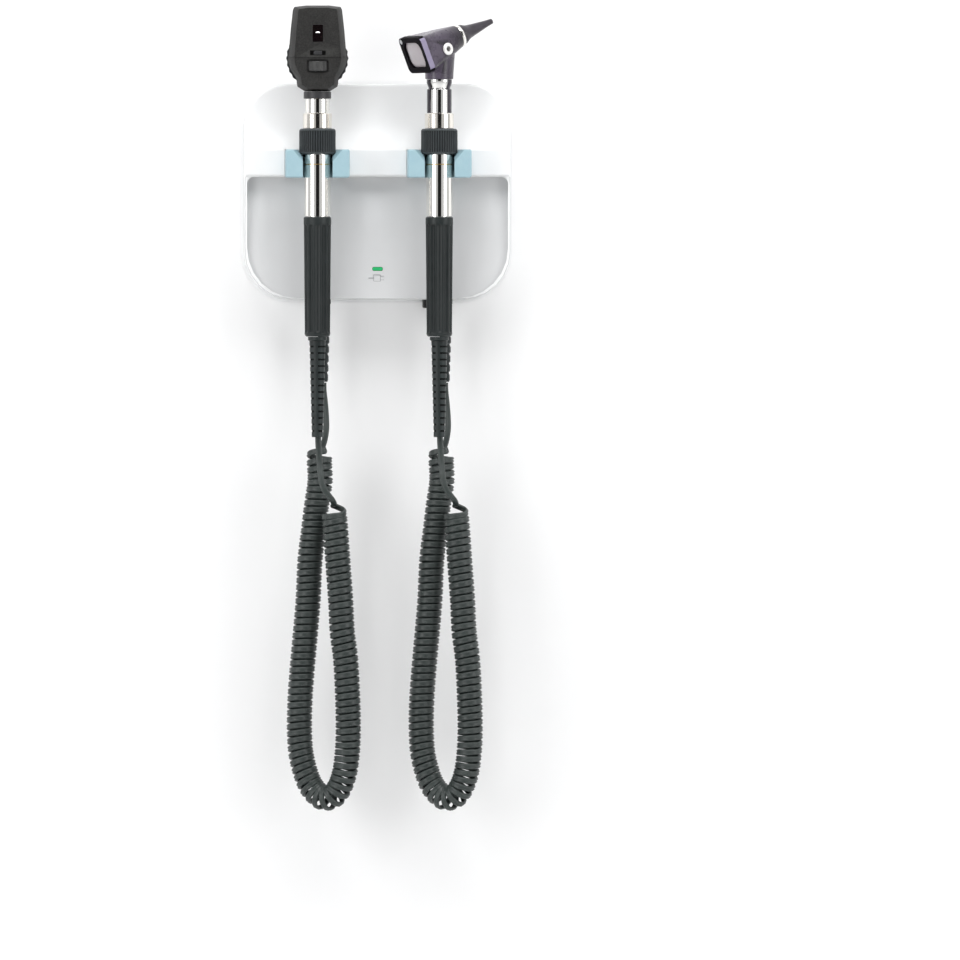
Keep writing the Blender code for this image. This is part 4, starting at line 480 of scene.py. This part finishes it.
def finishedCopy(node, material, bevel=0.0, work=None):
    # a merged copy of a CAD node with small rounds on its edges
    source = frame["nodes"][node]
    rounds = {"merge": 0.00002, "flat": math.radians(1.2), "sharp": math.radians(32), "segments": 2}
    piece = bpy.data.objects.new(node + "_finish", source.data.copy())
    scene.collection.objects.link(piece)
    makeActive(piece)
    bpy.ops.mesh.customdata_custom_splitnormals_clear()
    bpy.ops.object.mode_set(mode="EDIT")
    bpy.ops.mesh.select_all(action="SELECT")
    bpy.ops.mesh.remove_doubles(threshold=rounds["merge"])
    bpy.ops.mesh.dissolve_limited(angle_limit=rounds["flat"])
    bpy.ops.object.mode_set(mode="OBJECT")
    if bevel:
        applyModifier(
            piece, "BEVEL", width=bevel, segments=rounds["segments"], limit_method="ANGLE",
            angle_limit=rounds["sharp"], harden_normals=False,
        )
    if work:
        work(piece)
    return settle(piece, material, source["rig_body"], [node])


def secondFinish(piece, name, chosen):
    # the faces that are chosen by their middle and normal take another finish
    piece.data.materials.append(finish[name])
    for face in piece.data.polygons:
        if chosen(face.center, face.normal):
            face.material_index = 1


cord = {
    "wide": 0.0053,  # two cores side by side
    "thin": 0.0036,
    "groove": 0.6,  # how deep the valley between the cores is, as a share of half the thin way
    "valley": 0.0006,  # and how wide it is
    "coilOut": 0.0116,  # the coil's outside radius
    "turns": 93,
    "perTurn": 16,
    "ringSides": 16,
    "lead": 16,  # points of the line over which the coil opens from the straight cord
    "leadSteps": 20,
    "step": 0.0006,  # from one point of the line to the next
    "thinOut": 4,  # the straight parts keep one point in four
    "look": 8,  # points to each side that give the line's direction
}
wallTail = [
    (6.3, -29.0, -167.9), (6.5, -29.4, -175.0), (7.6, -32.5, -186.0), (8.4, -37.0, -198.0),
    (8.4, -41.5, -209.0), (6.5, -45.0, -220.0), (3.6, -47.4, -229.5),
]
coilRoute = [
    (2.4, -47.5, -232.5), (2.8, -48.0, -254.0), (-0.3, -48.0, -276.0), (-2.9, -48.0, -298.0),
    (-6.0, -48.0, -324.0), (-7.7, -47.8, -359.5), (-9.9, -47.6, -386.0), (-13.0, -47.4, -421.0),
    (-14.8, -47.2, -447.5), (-15.2, -47.2, -474.0), (-13.5, -47.6, -496.0), (-7.3, -49.6, -518.0),
    (0.6, -52.4, -529.3), (7.7, -56.2, -532.8), (15.6, -60.0, -529.3), (21.7, -63.0, -518.0),
    (25.3, -65.4, -502.0), (27.0, -67.4, -478.0), (26.6, -68.6, -447.5), (24.8, -69.0, -412.0),
    (21.7, -69.2, -386.0), (20.4, -69.2, -359.5), (17.8, -69.2, -324.0), (16.0, -69.0, -298.0),
    (14.8, -69.0, -283.0),
]
handleTail = [
    (14.8, -69.0, -281.2), (14.8, -69.4, -278.4), (14.6, -72.4, -275.6), (13.2, -77.0, -271.6),
    (9.6, -80.0, -267.2), (5.4, -80.0, -261.0), (3.0, -77.6, -252.0), (2.2, -74.4, -243.5),
    (1.6, -71.2, -234.0), (0.9, -69.4, -224.0), (0.6, -69.0, -216.6), (0.6, -69.0, -212.6),
]


def curveThrough(points, step):
    # a smooth line through the points, with a point every step
    between = 24
    dense = []
    last = len(points) - 1
    for i in range(last):
        a, b, c, d = points[max(i - 1, 0)], points[i], points[i + 1], points[min(i + 2, last)]
        for k in range(between):
            t = k / between
            dense.append(
                0.5 * (
                    2 * b + (c - a) * t + (2 * a - 5 * b + 4 * c - d) * t * t + (3 * b - a - 3 * c + d) * t**3
                )
            )
    dense.append(points[-1])
    line, left = [dense[0]], step
    for start, end in zip(dense, dense[1:]):
        span = (end - start).length
        while left <= span:
            line.append(start.lerp(end, left / span))
            left += step
        left -= span
    if (line[-1] - dense[-1]).length > step * 0.3:
        line.append(dense[-1])
    return line


def cordLine(x):
    # the cord's middle line, and the way its two cores lie beside each other
    wall, middle, handle = (
        [Vector((a / 1000 + x, b / 1000, c / 1000)) for a, b, c in route]
        for route in (wallTail, coilRoute, handleTail)
    )
    whole = curveThrough(wall[:-1] + middle + handle[2:], cord["step"])
    down = min(range(len(whole)), key=lambda i: (whole[i] - middle[0]).length)
    up = min(range(len(whole)), key=lambda i: (whole[i] - middle[-1]).length)
    lead, turns = cord["lead"], cord["turns"]
    first, last = down - lead, up + lead
    places = []  # where along the line, how many turns, how far out
    for k in range(1, cord["leadSteps"] + 1):
        share = k / cord["leadSteps"]
        places.append((first + lead * share, 0.5 * share * share, share * share * (3 - 2 * share)))
    for k in range(1, turns * cord["perTurn"] + 1):
        share = k / (turns * cord["perTurn"])
        places.append((down + (up - down) * share, 0.5 + turns * share, 1))
    for k in range(1, cord["leadSteps"] + 1):
        share = 1 - k / cord["leadSteps"]
        places.append((last - lead * share, turns + 1 - 0.5 * share * share, share * share * (3 - 2 * share)))
    radius = cord["coilOut"] - cord["thin"] / 2
    path = whole[: first : cord["thinOut"]]
    wide = [Vector((1, 0, 0))] * len(path)
    coilStart, coilEnd = len(path), len(path) + len(places)
    side = Vector((1, 0, 0))
    for at, turn, grow in places:
        j = min(int(at), len(whole) - 2)
        centre = whole[j].lerp(whole[j + 1], at - j)
        along = (whole[min(j + cord["look"], len(whole) - 1)] - whole[max(j - cord["look"], 0)]).normalized()
        side = (side - along * side.dot(along)).normalized()
        angle = 2 * math.pi * turn
        path.append(centre + (side * math.cos(angle) + along.cross(side) * math.sin(angle)) * radius * grow)
        wide.append(Vector((1, 0, 0)).lerp(along, grow))
    path += whole[last + cord["thinOut"] :: cord["thinOut"]]
    wide += [Vector((1, 0, 0))] * (len(path) - coilEnd)
    return path, wide, coilStart, coilEnd


def cordSection():
    # across a twin cord: flat, with a valley between its two cores on each face
    points = []
    for k in range(cord["ringSides"]):
        angle = 2 * math.pi * k / cord["ringSides"]
        across = math.cos(angle) * cord["wide"] / 2
        valley = 1 - cord["groove"] * math.exp(-((across / cord["valley"]) ** 2))
        points.append((across, math.sin(angle) * cord["thin"] / 2 * valley))
    return points


def sweepCord(name, path, wide):
    section, corners, faces = cordSection(), [], []
    count = len(section)
    for i, centre in enumerate(path):
        ahead = (path[min(i + 1, len(path) - 1)] - path[max(i - 1, 0)]).normalized()
        across = (wide[i] - ahead * wide[i].dot(ahead)).normalized()
        thick = ahead.cross(across)
        corners += [centre + across * a + thick * b for a, b in section]
    for i in range(len(path) - 1):
        for k in range(count):
            a, b = i * count + k, i * count + (k + 1) % count
            faces.append((a, b, b + count, a + count))
    faces.append(tuple(reversed(range(count))))
    faces.append(tuple(range(len(corners) - count, len(corners))))
    mesh = bpy.data.meshes.new(name)
    mesh.from_pydata(corners, [], faces)
    piece = bpy.data.objects.new(name, mesh)
    scene.collection.objects.link(piece)
    makeActive(piece)
    return piece


for side, x in sides.items():
    path, wide, coilStart, coilEnd = cordLine(x)
    piece = sweepCord(side + "_curly_cord", path, wide)
    bpy.ops.object.shade_smooth()
    piece.data.materials.append(finish["cordJacket"])
    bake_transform(piece)
    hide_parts(side + "_cord_wall_tail", side + "_cord_coil", side + "_cord_handle_tail")


def turnPiece(name, profile, count):
    # a circle is extruded up or down and resized from one step of the closed profile to the next
    deselectAll()
    radius, height = profile[0]
    bpy.ops.mesh.primitive_circle_add(
        vertices=count, radius=radius, fill_type="NOTHING", location=(0, 0, height)
    )
    piece = bpy.context.object
    piece.name = name
    bpy.ops.object.transform_apply(location=True)
    bpy.ops.object.mode_set(mode="EDIT")
    bpy.ops.mesh.select_all(action="SELECT")
    for nextRadius, nextHeight in profile[1:] + profile[:1]:
        bpy.ops.mesh.extrude_region_move(TRANSFORM_OT_translate={"value": (0, 0, nextHeight - height)})
        change = nextRadius / radius
        bpy.ops.transform.resize(value=(change, change, 1), center_override=(0, 0, nextHeight))
        radius, height = nextRadius, nextHeight
    bpy.ops.mesh.select_all(action="SELECT")
    bpy.ops.mesh.remove_doubles(threshold=0.00001)
    bpy.ops.mesh.normals_make_consistent(inside=False)
    bpy.ops.object.mode_set(mode="OBJECT")
    return piece


def pressGrooves(piece, count, ribs, reachSteps, depth, low, high, inner):
    # the steps within reachSteps of each groove's middle move in towards the axis, between two heights
    def inGroove(place):
        step = round(math.atan2(place.x, -place.y) / (2 * math.pi) * count) % (count // ribs)
        beside = min(step, count // ribs - step)
        return low <= place.z <= high and math.hypot(place.x, place.y) > inner and beside <= reachSteps

    reach = max(math.hypot(v.co.x, v.co.y) for v in piece.data.vertices)
    pickVertices(piece, inGroove)
    change = 1 - depth / reach
    bpy.ops.transform.resize(value=(change, change, 1), center_override=(0, 0, (low + high) / 2))
    bpy.ops.object.mode_set(mode="OBJECT")


def levels(node):
    low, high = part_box(node)
    return low.z, high.z


def onAxis(piece, x):
    piece.location = (x, axisDepth, 0)
    return piece


def fromAxis(place, x):
    return math.hypot(place.x - x, place.y - axisDepth)


partGap = 0.0003  # between neighbouring pieces
uprightLean = 0.2  # a normal's Z on the side of a piece stays below this


def makeBarrel(side, x):
    # chrome tube with a groove in which a thin brass band lies
    barrel = {
        "radius": 0.0116, "stem": 0.0093, "bore": 0.0076, "round": 0.0003,
        "grooveDrop": 0.0082, "groove": 0.0009, "grooveDepth": 0.0004, "lip": 0.0001,
        "bandBack": 0.00035, "bandFront": 0.00012, "count": 96,
    }
    low, high = levels(side + "_barrel")
    top = levels(side + "_dimmer_collar")[0] - partGap
    bottom = levels(side + "_grip")[1] + partGap
    groove, lip, radius = top - barrel["grooveDrop"], barrel["lip"], barrel["radius"]
    grooveEnd = groove - barrel["groove"]
    tube = turnPiece(side + "_barrel_tube", [
        (barrel["bore"], high), (barrel["stem"], high), (barrel["stem"], top),
        (radius - barrel["round"], top), (radius, top - barrel["round"]), (radius, groove),
        (radius - barrel["grooveDepth"], groove - lip),
        (radius - barrel["grooveDepth"], grooveEnd + lip), (radius, grooveEnd),
        (radius, bottom + barrel["round"]), (radius - barrel["round"], bottom),
        (barrel["stem"], bottom), (barrel["stem"], low), (barrel["bore"], low),
    ], barrel["count"])
    settle(onAxis(tube, x), "polishedChrome", side + "_handle", [side + "_barrel"], 30)
    back, front = radius - barrel["bandBack"], radius - barrel["bandFront"]
    band = turnPiece(side + "_barrel_band", [
        (back, groove - lip), (front, groove - 2 * lip),
        (front, grooveEnd + 2 * lip), (back, grooveEnd + lip),
    ], barrel["count"])
    settle(onAxis(band, x), "contactBrass", side + "_handle")


def makeNeck(side, x):
    neck = {"radius": 0.01275, "bore": 0.0085, "lip": 0.0006, "foot": 0.0003, "count": 96}
    low, high = levels(side + "_neck")
    ring = turnPiece(side + "_neck_ring", [
        (neck["bore"], low), (neck["radius"] - neck["foot"], low), (neck["radius"], low + neck["foot"]),
        (neck["radius"], high - neck["lip"]), (neck["radius"] - neck["lip"], high), (neck["bore"], high),
    ], neck["count"])
    settle(onAxis(ring, x), "satinNickel", side + "_handle", [side + "_neck"], 30)


def makeCollar(side, x):
    # the dimmer's ribbed ring, with an inner step that the neck stands in
    collar = {
        "radius": 0.016, "bore": 0.0096, "seat": 0.0131, "floor": 0.003, "chamfer": 0.0012, "round": 0.0004,
        "soften": 0.0003, "ribs": 44, "steps": 5, "depth": 0.0008, "innerLimit": 0.015, "wallLimit": 0.0145,
    }
    low, high = levels(side + "_dimmer_collar")
    radius, chamfer, edge = collar["radius"], collar["chamfer"], collar["round"]
    count = collar["ribs"] * collar["steps"]
    ring = turnPiece(side + "_dimmer_ring", [
        (collar["bore"], low), (radius - chamfer, low), (radius - edge, low + chamfer - collar["soften"]),
        (radius, low + chamfer + edge), (radius, low + chamfer + 2 * edge),
        (radius, high - chamfer - 2 * edge), (radius, high - chamfer - edge),
        (radius - edge, high - chamfer + collar["soften"]), (radius - chamfer, high), (collar["seat"], high),
        (collar["seat"], low + collar["floor"]), (collar["bore"], low + collar["floor"]),
    ], count)
    end = chamfer + 1.5 * edge
    pressGrooves(ring, count, collar["ribs"], 1, collar["depth"], low + end, high - end, collar["innerLimit"])
    settle(onAxis(ring, x), "collarRubber", side + "_dimmer", [side + "_dimmer_collar"], 50)
    floorRadius = radius - 0.8 * collar["depth"]
    # painted shade: the groove walls take the darker groove finish
    secondFinish(
        ring, "paintedGrooveShade",
        lambda c, n: collar["wallLimit"] < fromAxis(c, x) < floorRadius and abs(n.z) < uprightLean,
    )


def makeGrip(side, x):
    # tapered sleeve with twelve flutes below a plain band
    grip = {
        "top": 0.0121, "bottom": 0.0113, "bore": 0.0096, "band": 0.0065, "end": 0.0032, "blend": 0.0015,
        "foot": ((0.0016, 0), (0.0006, 0.0007), (0.0001, 0.002)),
        "shoulder": ((0, 0.0009), (0.0003, 0.0003), (0.0009, 0)),
        "flutes": 12, "steps": 10, "presses": ((3, 0.0004), (2, 0.0005), (1, 0.0004)), "innerLimit": 0.0098,
        "floorLimits": (0.0097, 0.0103), "fluteEnd": 0.001,
    }
    low, high = levels(side + "_grip")
    top, bottom, start = grip["top"], grip["bottom"], high - grip["band"]
    count = grip["flutes"] * grip["steps"]
    sleeve = turnPiece(side + "_grip_sleeve", [
        (grip["bore"], low), *((bottom - inward, low + up) for inward, up in grip["foot"]),
        (bottom, low + grip["end"]), (bottom, low + grip["end"] + grip["blend"]),
        (top, start - grip["blend"]), (top, start),
        *((top - inward, high - down) for inward, down in grip["shoulder"]), (grip["bore"], high),
    ], count)
    for reachSteps, depth in grip["presses"]:
        pressGrooves(
            sleeve, count, grip["flutes"], reachSteps, depth,
            low + grip["end"] + grip["fluteEnd"], start - grip["fluteEnd"], grip["innerLimit"],
        )
    settle(onAxis(sleeve, x), "gripRubber", side + "_handle", [side + "_grip"], 30)
    inner, outer = grip["floorLimits"]
    # painted shade: the flute floors take the darker groove finish
    secondFinish(sleeve, "paintedGrooveShade", lambda c, n: inner < fromAxis(c, x) < outer and abs(n.z) < uprightLean)


def makeReliefShadeCore(side, x):
    # a near-black core that shows through the strain relief's slots as painted shade
    core = {"bore": 0.0034, "top": 0.0066, "bottom": 0.00455, "inset": 0.001, "shoulder": 0.006, "count": 64}
    low, high = levels(side + "_strain_relief")
    inside = turnPiece(side + "_relief_shade_core", [
        (core["bore"], high - core["inset"]), (core["top"], high - core["inset"]),
        (core["top"], high - core["shoulder"]),
        (core["bottom"], low + core["inset"]), (core["bore"], low + core["inset"]),
    ], core["count"])
    settle(onAxis(inside, x), "paintedSlotShade", side + "_handle", (), 30)


for side, x in sides.items():
    for makePart in (makeBarrel, makeNeck, makeCollar, makeGrip, makeReliefShadeCore):
        makePart(side, x)
print("handles turned")

# pieces that keep their CAD form: finish, and how far their edges are rounded

unitPieces = {
    "back_plate": ("housingWhite", 0.0005),
    "front_cover": ("housingWhite", 0.0),
    "status_light": ("lightGreen", 0.0003),
    "circuit_board": ("boardGreen", 0.0),
    "transformer_core": ("plainSteel", 0.0005),
    "transformer_winding": ("windingCopper", 0.001),
    "mains_inlet": ("inletBlack", 0.0005),
}
handlePieces = {
    "cradle": ("cradleBlue", 0.0006),
    "cord_gland": ("gripRubber", 0.0002),
    "bayonet": ("satinNickel", 0.0002),
    "contact_pin": ("contactBrass", 0.0),
    "contact_spring": ("plainSteel", 0.0),
    "dimmer_core": ("ceramicBuff", 0.0002),
    "strain_relief": ("gripRubber", 0.0002),
    "head_socket": ("polishedChrome", 0.0002),
    "lamp": ("lampGlass", 0.0),
}
headPieces = {
    "otoscope_head_shell": ("headBlackPaintedSheen", 0.0006),
    "otoscope_insufflation_port": ("portWhite", 0.0002),
    "otoscope_lamp_contact": ("contactBrass", 0.0),
    "otoscope_lens": ("lensGlass", 0.0003),
    "otoscope_lens_frame": ("frameBlack", 0.0004),
    "otoscope_lens_pivot": ("plainSteel", 0.0),
    "otoscope_light_guide": ("lampGlass", 0.0),
    "otoscope_specula_ring": ("polishedChrome", 0.0003),
    "otoscope_speculum": ("speculumBlack", 0.0002),
    "otoscope_speculum_holder": ("frameBlack", 0.0002),
    "ophthalmoscope_aperture_dial": ("dialGrey", 0.0001),
    "ophthalmoscope_brow_rest": ("restRubber", 0.0004),
    "ophthalmoscope_filter_slide": ("wheelBlack", 0.0002),
    "ophthalmoscope_front_shell": ("scopeShell", 0.0005),
    "ophthalmoscope_head_collar": ("wheelBlack", 0.0003),
    "ophthalmoscope_lens_wheel": ("wheelBlack", 0.0002),
    "ophthalmoscope_mirror": ("polishedChrome", 0.0),
    "ophthalmoscope_rear_shell": ("scopeShell", 0.0005),
    "ophthalmoscope_wheel_axle": ("plainSteel", 0.0),
    "ophthalmoscope_window": ("windowBlack", 0.0),
}
inlet = {"middle": 0.042, "half": 0.0113, "near": 0.0002, "top": -0.05, "moved": 0.0095}


def scoreSeam(piece):
    # a fine line where the front moulding's two halves meet
    seam = {"level": 0.117, "half": 0.00014, "depth": 0.0003}
    makeActive(piece)
    bpy.ops.object.mode_set(mode="EDIT")
    for offset in (-2, -1, 1, 2):
        bpy.ops.mesh.select_all(action="SELECT")
        bpy.ops.mesh.bisect(plane_co=(0, 0, seam["level"] + offset * seam["half"]), plane_no=(0, 0, 1))
    pickVertices(piece, lambda place: abs(place.z - seam["level"]) < 1.2 * seam["half"])
    bpy.ops.transform.shrink_fatten(value=-seam["depth"])
    bpy.ops.object.mode_set(mode="OBJECT")


def slideAcross(piece, chosen):
    pickVertices(piece, chosen)
    bpy.ops.transform.translate(value=(inlet["moved"], 0, 0))
    bpy.ops.object.mode_set(mode="OBJECT")


def slideNotch(piece):
    # the inlet stands behind the right handle, so its notch slides over to there
    def atSide(place):
        return abs(abs(place.x - inlet["middle"]) - inlet["half"]) < inlet["near"] and place.z < inlet["top"]

    slideAcross(piece, atSide)


works = {
    "ophthalmoscope_front_shell": scoreSeam,
    "back_plate": slideNotch,
    "front_cover": slideNotch,
    "mains_inlet": lambda piece: slideAcross(piece, lambda place: True),
}
for node, (material, bevel) in {**unitPieces, **headPieces}.items():
    finishedCopy(node, material, bevel, works.get(node))
for side in sides:
    for part, (material, bevel) in handlePieces.items():
        finishedCopy(side + "_" + part, material, bevel)
frameMiddle = sum(corner.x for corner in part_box("otoscope_lens_frame")) / 2
# painted sheen: the lens frame's front faces on its right half take the lighter lavender
secondFinish(
    bpy.data.objects["otoscope_lens_frame_finish"], "paintedFrameSheen",
    lambda c, n: n.y < -0.8 and c.x > frameMiddle,
)
panel = {"front": -0.0452, "back": -0.0365, "top": 0.0145, "half": 0.1175, "facing": -0.3}


# faces of the recessed panel under the brow, which take the painted shade
def onShadedPanel(c, n):
    inside = c.z < panel["top"] and abs(c.x) < panel["half"]
    return inside and n.y < panel["facing"] and panel["front"] < c.y < panel["back"]


secondFinish(bpy.data.objects["front_cover_finish"], "paintedPanelShade", onShadedPanel)
# the head socket's chrome takes the painted dark reflection at its sides
bpy.data.objects["otoscope_head_socket_finish"].data.materials[0] = finish["rimChrome"]


def makePaintedGlint():
    # a painted glint: a glowing half moon in the viewing window, in place of the lamp's light seen there
    glint = {"radius": 0.0020, "level": 0.1387, "proud": 0.0001, "thick": 0.0004, "flat": 0.6}
    window = frame["nodes"]["ophthalmoscope_window"]
    low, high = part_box("ophthalmoscope_window")
    deselectAll()
    bpy.ops.mesh.primitive_circle_add(
        vertices=40, radius=glint["radius"], fill_type="NGON", rotation=(math.radians(90), 0, 0),
        location=((low.x + high.x) / 2, low.y - glint["proud"], glint["level"]),
    )
    piece = bpy.context.object
    piece.name = "painted_glint"
    bpy.ops.object.transform_apply(location=True, rotation=True)
    bpy.ops.object.mode_set(mode="EDIT")
    bpy.ops.mesh.select_all(action="SELECT")
    bpy.ops.mesh.bisect(plane_co=(0, 0, glint["level"]), plane_no=(0, 0, 1), clear_inner=True, use_fill=False)
    bpy.ops.mesh.select_all(action="SELECT")
    bpy.ops.transform.resize(value=(1, 1, glint["flat"]), center_override=(0, 0, glint["level"]))
    bpy.ops.mesh.extrude_region_move(TRANSFORM_OT_translate={"value": (0, glint["thick"], 0)})
    bpy.ops.mesh.select_all(action="SELECT")
    bpy.ops.mesh.normals_make_consistent(inside=False)
    bpy.ops.object.mode_set(mode="OBJECT")
    settle(piece, "paintedGlintGlow", window["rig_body"])


makePaintedGlint()
print("CAD forms finished:", len(unitPieces) + len(headPieces) + 2 * len(handlePieces))


def makePlugSign():
    # an outline of a mains plug below the light: body, two prongs and the start of its lead, a hair proud
    sign = {
        "left": -0.0035, "right": 0.0025, "half": 0.0028, "prongs": 0.0016, "prong": 0.0032, "lead": 0.0042,
        "line": 0.00028, "thick": 0.0012, "round": 0.0001, "proud": 0.00012, "drop": 0.0080,
    }
    left, right, half, prongs = sign["left"], sign["right"], sign["half"], sign["prongs"]
    low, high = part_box("status_light")
    level = (low.z + high.z) / 2 - sign["drop"]
    cover = bpy.data.objects["front_cover_finish"]
    fronts = [cover.ray_cast((0, -0.3, level + rise), (0, 1, 0))[1].y for rise in (-half, 0, half)]
    front = min(fronts) - sign["proud"] + sign["thick"] / 2
    bars = [
        (left, -half, left, half), (right, -half, right, half),
        (left, -half, right, -half), (left, half, right, half),
        (right, prongs, right + sign["prong"], prongs), (right, -prongs, right + sign["prong"], -prongs),
        (left - sign["lead"], 0, left, 0),
    ]
    made = []
    for i, (x0, z0, x1, z1) in enumerate(bars):
        deselectAll()
        bpy.ops.mesh.primitive_cube_add(size=1, location=((x0 + x1) / 2, front, level + (z0 + z1) / 2))
        bar = bpy.context.object
        line = sign["line"] * (2 if i == len(bars) - 1 else 1)
        bar.scale = (abs(x1 - x0) + line, sign["thick"], abs(z1 - z0) + line)
        bpy.ops.object.transform_apply(location=True, rotation=True, scale=True)
        applyModifier(bar, "BEVEL", width=sign["round"], segments=1)
        made.append(bar)
    deselectAll()
    for bar in made:
        bar.select_set(True)
    bpy.context.view_layer.objects.active = made[0]
    bpy.ops.object.join()
    made[0].name = "plug_sign"
    settle(made[0], "iconGrey", "wall_unit")


makePlugSign()


def makeStageFinish(name, colour, grain, glow):
    # matt paint with a faint glow, clear from behind
    material = makeFinish(name, {
        "colour": colour, "colourTo": tuple(c * 0.99 for c in colour), "rough": (0.8, 0.9), "drift": 3,
        "grain": (grain, 0.03), "shader": {"Emission Color": (1, 1, 1, 1), "Emission Strength": glow},
    })
    nodes, links = material.node_tree.nodes, material.node_tree.links
    clear = nodes.new("ShaderNodeBsdfTransparent")
    behind = nodes.new("ShaderNodeMixShader")
    links.new(nodes.new("ShaderNodeNewGeometry").outputs["Backfacing"], behind.inputs["Fac"])
    links.new(nodes["Principled BSDF"].outputs[0], behind.inputs[1])
    links.new(clear.outputs[0], behind.inputs[2])
    links.new(behind.outputs[0], nodes["Material Output"].inputs["Surface"])
    return material


room = {"half": 4.0, "floor": -1.3, "wallGap": 0.0004}
deselectAll()
bpy.ops.mesh.primitive_plane_add(
    size=2 * room["half"], location=(0, room["wallGap"], room["floor"] + room["half"]),
    rotation=(math.radians(90), 0, 0),
)
wall = bpy.context.object
wall.name = "stage_wall"
wall.data.materials.append(makeStageFinish("wallPaint", (0.84, 0.84, 0.84), 300, 0.1))
deselectAll()
bpy.ops.mesh.primitive_plane_add(
    size=2 * room["half"], location=(0, room["wallGap"] - room["half"], room["floor"])
)
ground = bpy.context.object
ground.name = "stage_floor"
ground.data.materials.append(makeStageFinish("floorPaint", (0.8, 0.8, 0.8), 200, 0.05))

world = bpy.data.worlds.new("studio")
scene.world = world
world.use_nodes = True
nodes, links = world.node_tree.nodes, world.node_tree.links
studio = {
    "room": (0.58, 0.585, 0.59),
    "dark": 0.02,
    "stripHalf": 15.5,  # degrees either side of straight ahead
    "soften": 3,
    "seen": (0.93, 0.93, 0.94),
}
background = nodes["Background"]
direction = nodes.new("ShaderNodeTexCoord").outputs["Generated"]
parts = nodes.new("ShaderNodeSeparateXYZ")
links.new(direction, parts.inputs[0])
turn = nodes.new("ShaderNodeMath")
turn.operation = "ARCTAN2"
flip = nodes.new("ShaderNodeMath")
flip.operation = "MULTIPLY"
flip.inputs[1].default_value = -1
links.new(parts.outputs["Y"], flip.inputs[0])
links.new(parts.outputs["X"], turn.inputs[0])
links.new(flip.outputs[0], turn.inputs[1])
size = nodes.new("ShaderNodeMath")
size.operation = "ABSOLUTE"
links.new(turn.outputs[0], size.inputs[0])
strip = nodes.new("ShaderNodeMapRange")
strip.interpolation_type = "SMOOTHSTEP"
strip.inputs["From Min"].default_value = math.radians(studio["stripHalf"] - studio["soften"])
strip.inputs["From Max"].default_value = math.radians(studio["stripHalf"] + studio["soften"])
strip.inputs["To Min"].default_value = studio["dark"]
strip.inputs["To Max"].default_value = 1.0
links.new(size.outputs[0], strip.inputs["Value"])
shade = nodes.new("ShaderNodeMix")
shade.data_type = "RGBA"
shade.blend_type = "MULTIPLY"
shade.inputs["Factor"].default_value = 1
shade.inputs["A"].default_value = (*studio["room"], 1)
links.new(strip.outputs[0], shade.inputs["B"])
links.new(shade.outputs["Result"], background.inputs["Color"])
seen = nodes.new("ShaderNodeBackground")
seen.inputs["Color"].default_value = (*studio["seen"], 1)
lightPath = nodes.new("ShaderNodeLightPath")
chosen = nodes.new("ShaderNodeMixShader")
links.new(lightPath.outputs["Is Camera Ray"], chosen.inputs["Fac"])
links.new(background.outputs[0], chosen.inputs[1])
links.new(seen.outputs[0], chosen.inputs[2])
links.new(chosen.outputs[0], nodes["World Output"].inputs["Surface"])

softBoxes = {
    "leftBox": {"place": (-2.4, -2.2, 0.5), "aim": (0, 0, -0.15), "size": (1.4, 2.6), "watts": 35},
    "rightBox": {"place": (2.6, -2.0, 0.4), "aim": (0, 0, -0.15), "size": (1.4, 2.6), "watts": 30},
    "overhead": {"place": (0.1, -1.4, 2.1), "aim": (0, 0, -0.1), "size": (2.2, 1.2), "watts": 42},
}
for name, box in softBoxes.items():
    aim = (Vector(box["aim"]) - Vector(box["place"])).to_track_quat("-Z", "Y").to_euler()
    deselectAll()
    bpy.ops.object.light_add(type="AREA", location=box["place"], rotation=aim)
    lamp = bpy.context.object
    lamp.name = name
    lamp.data.shape = "RECTANGLE"
    lamp.data.size, lamp.data.size_y = box["size"]
    lamp.data.energy = box["watts"]
scene.view_settings.view_transform = "Standard"
print("stage set")
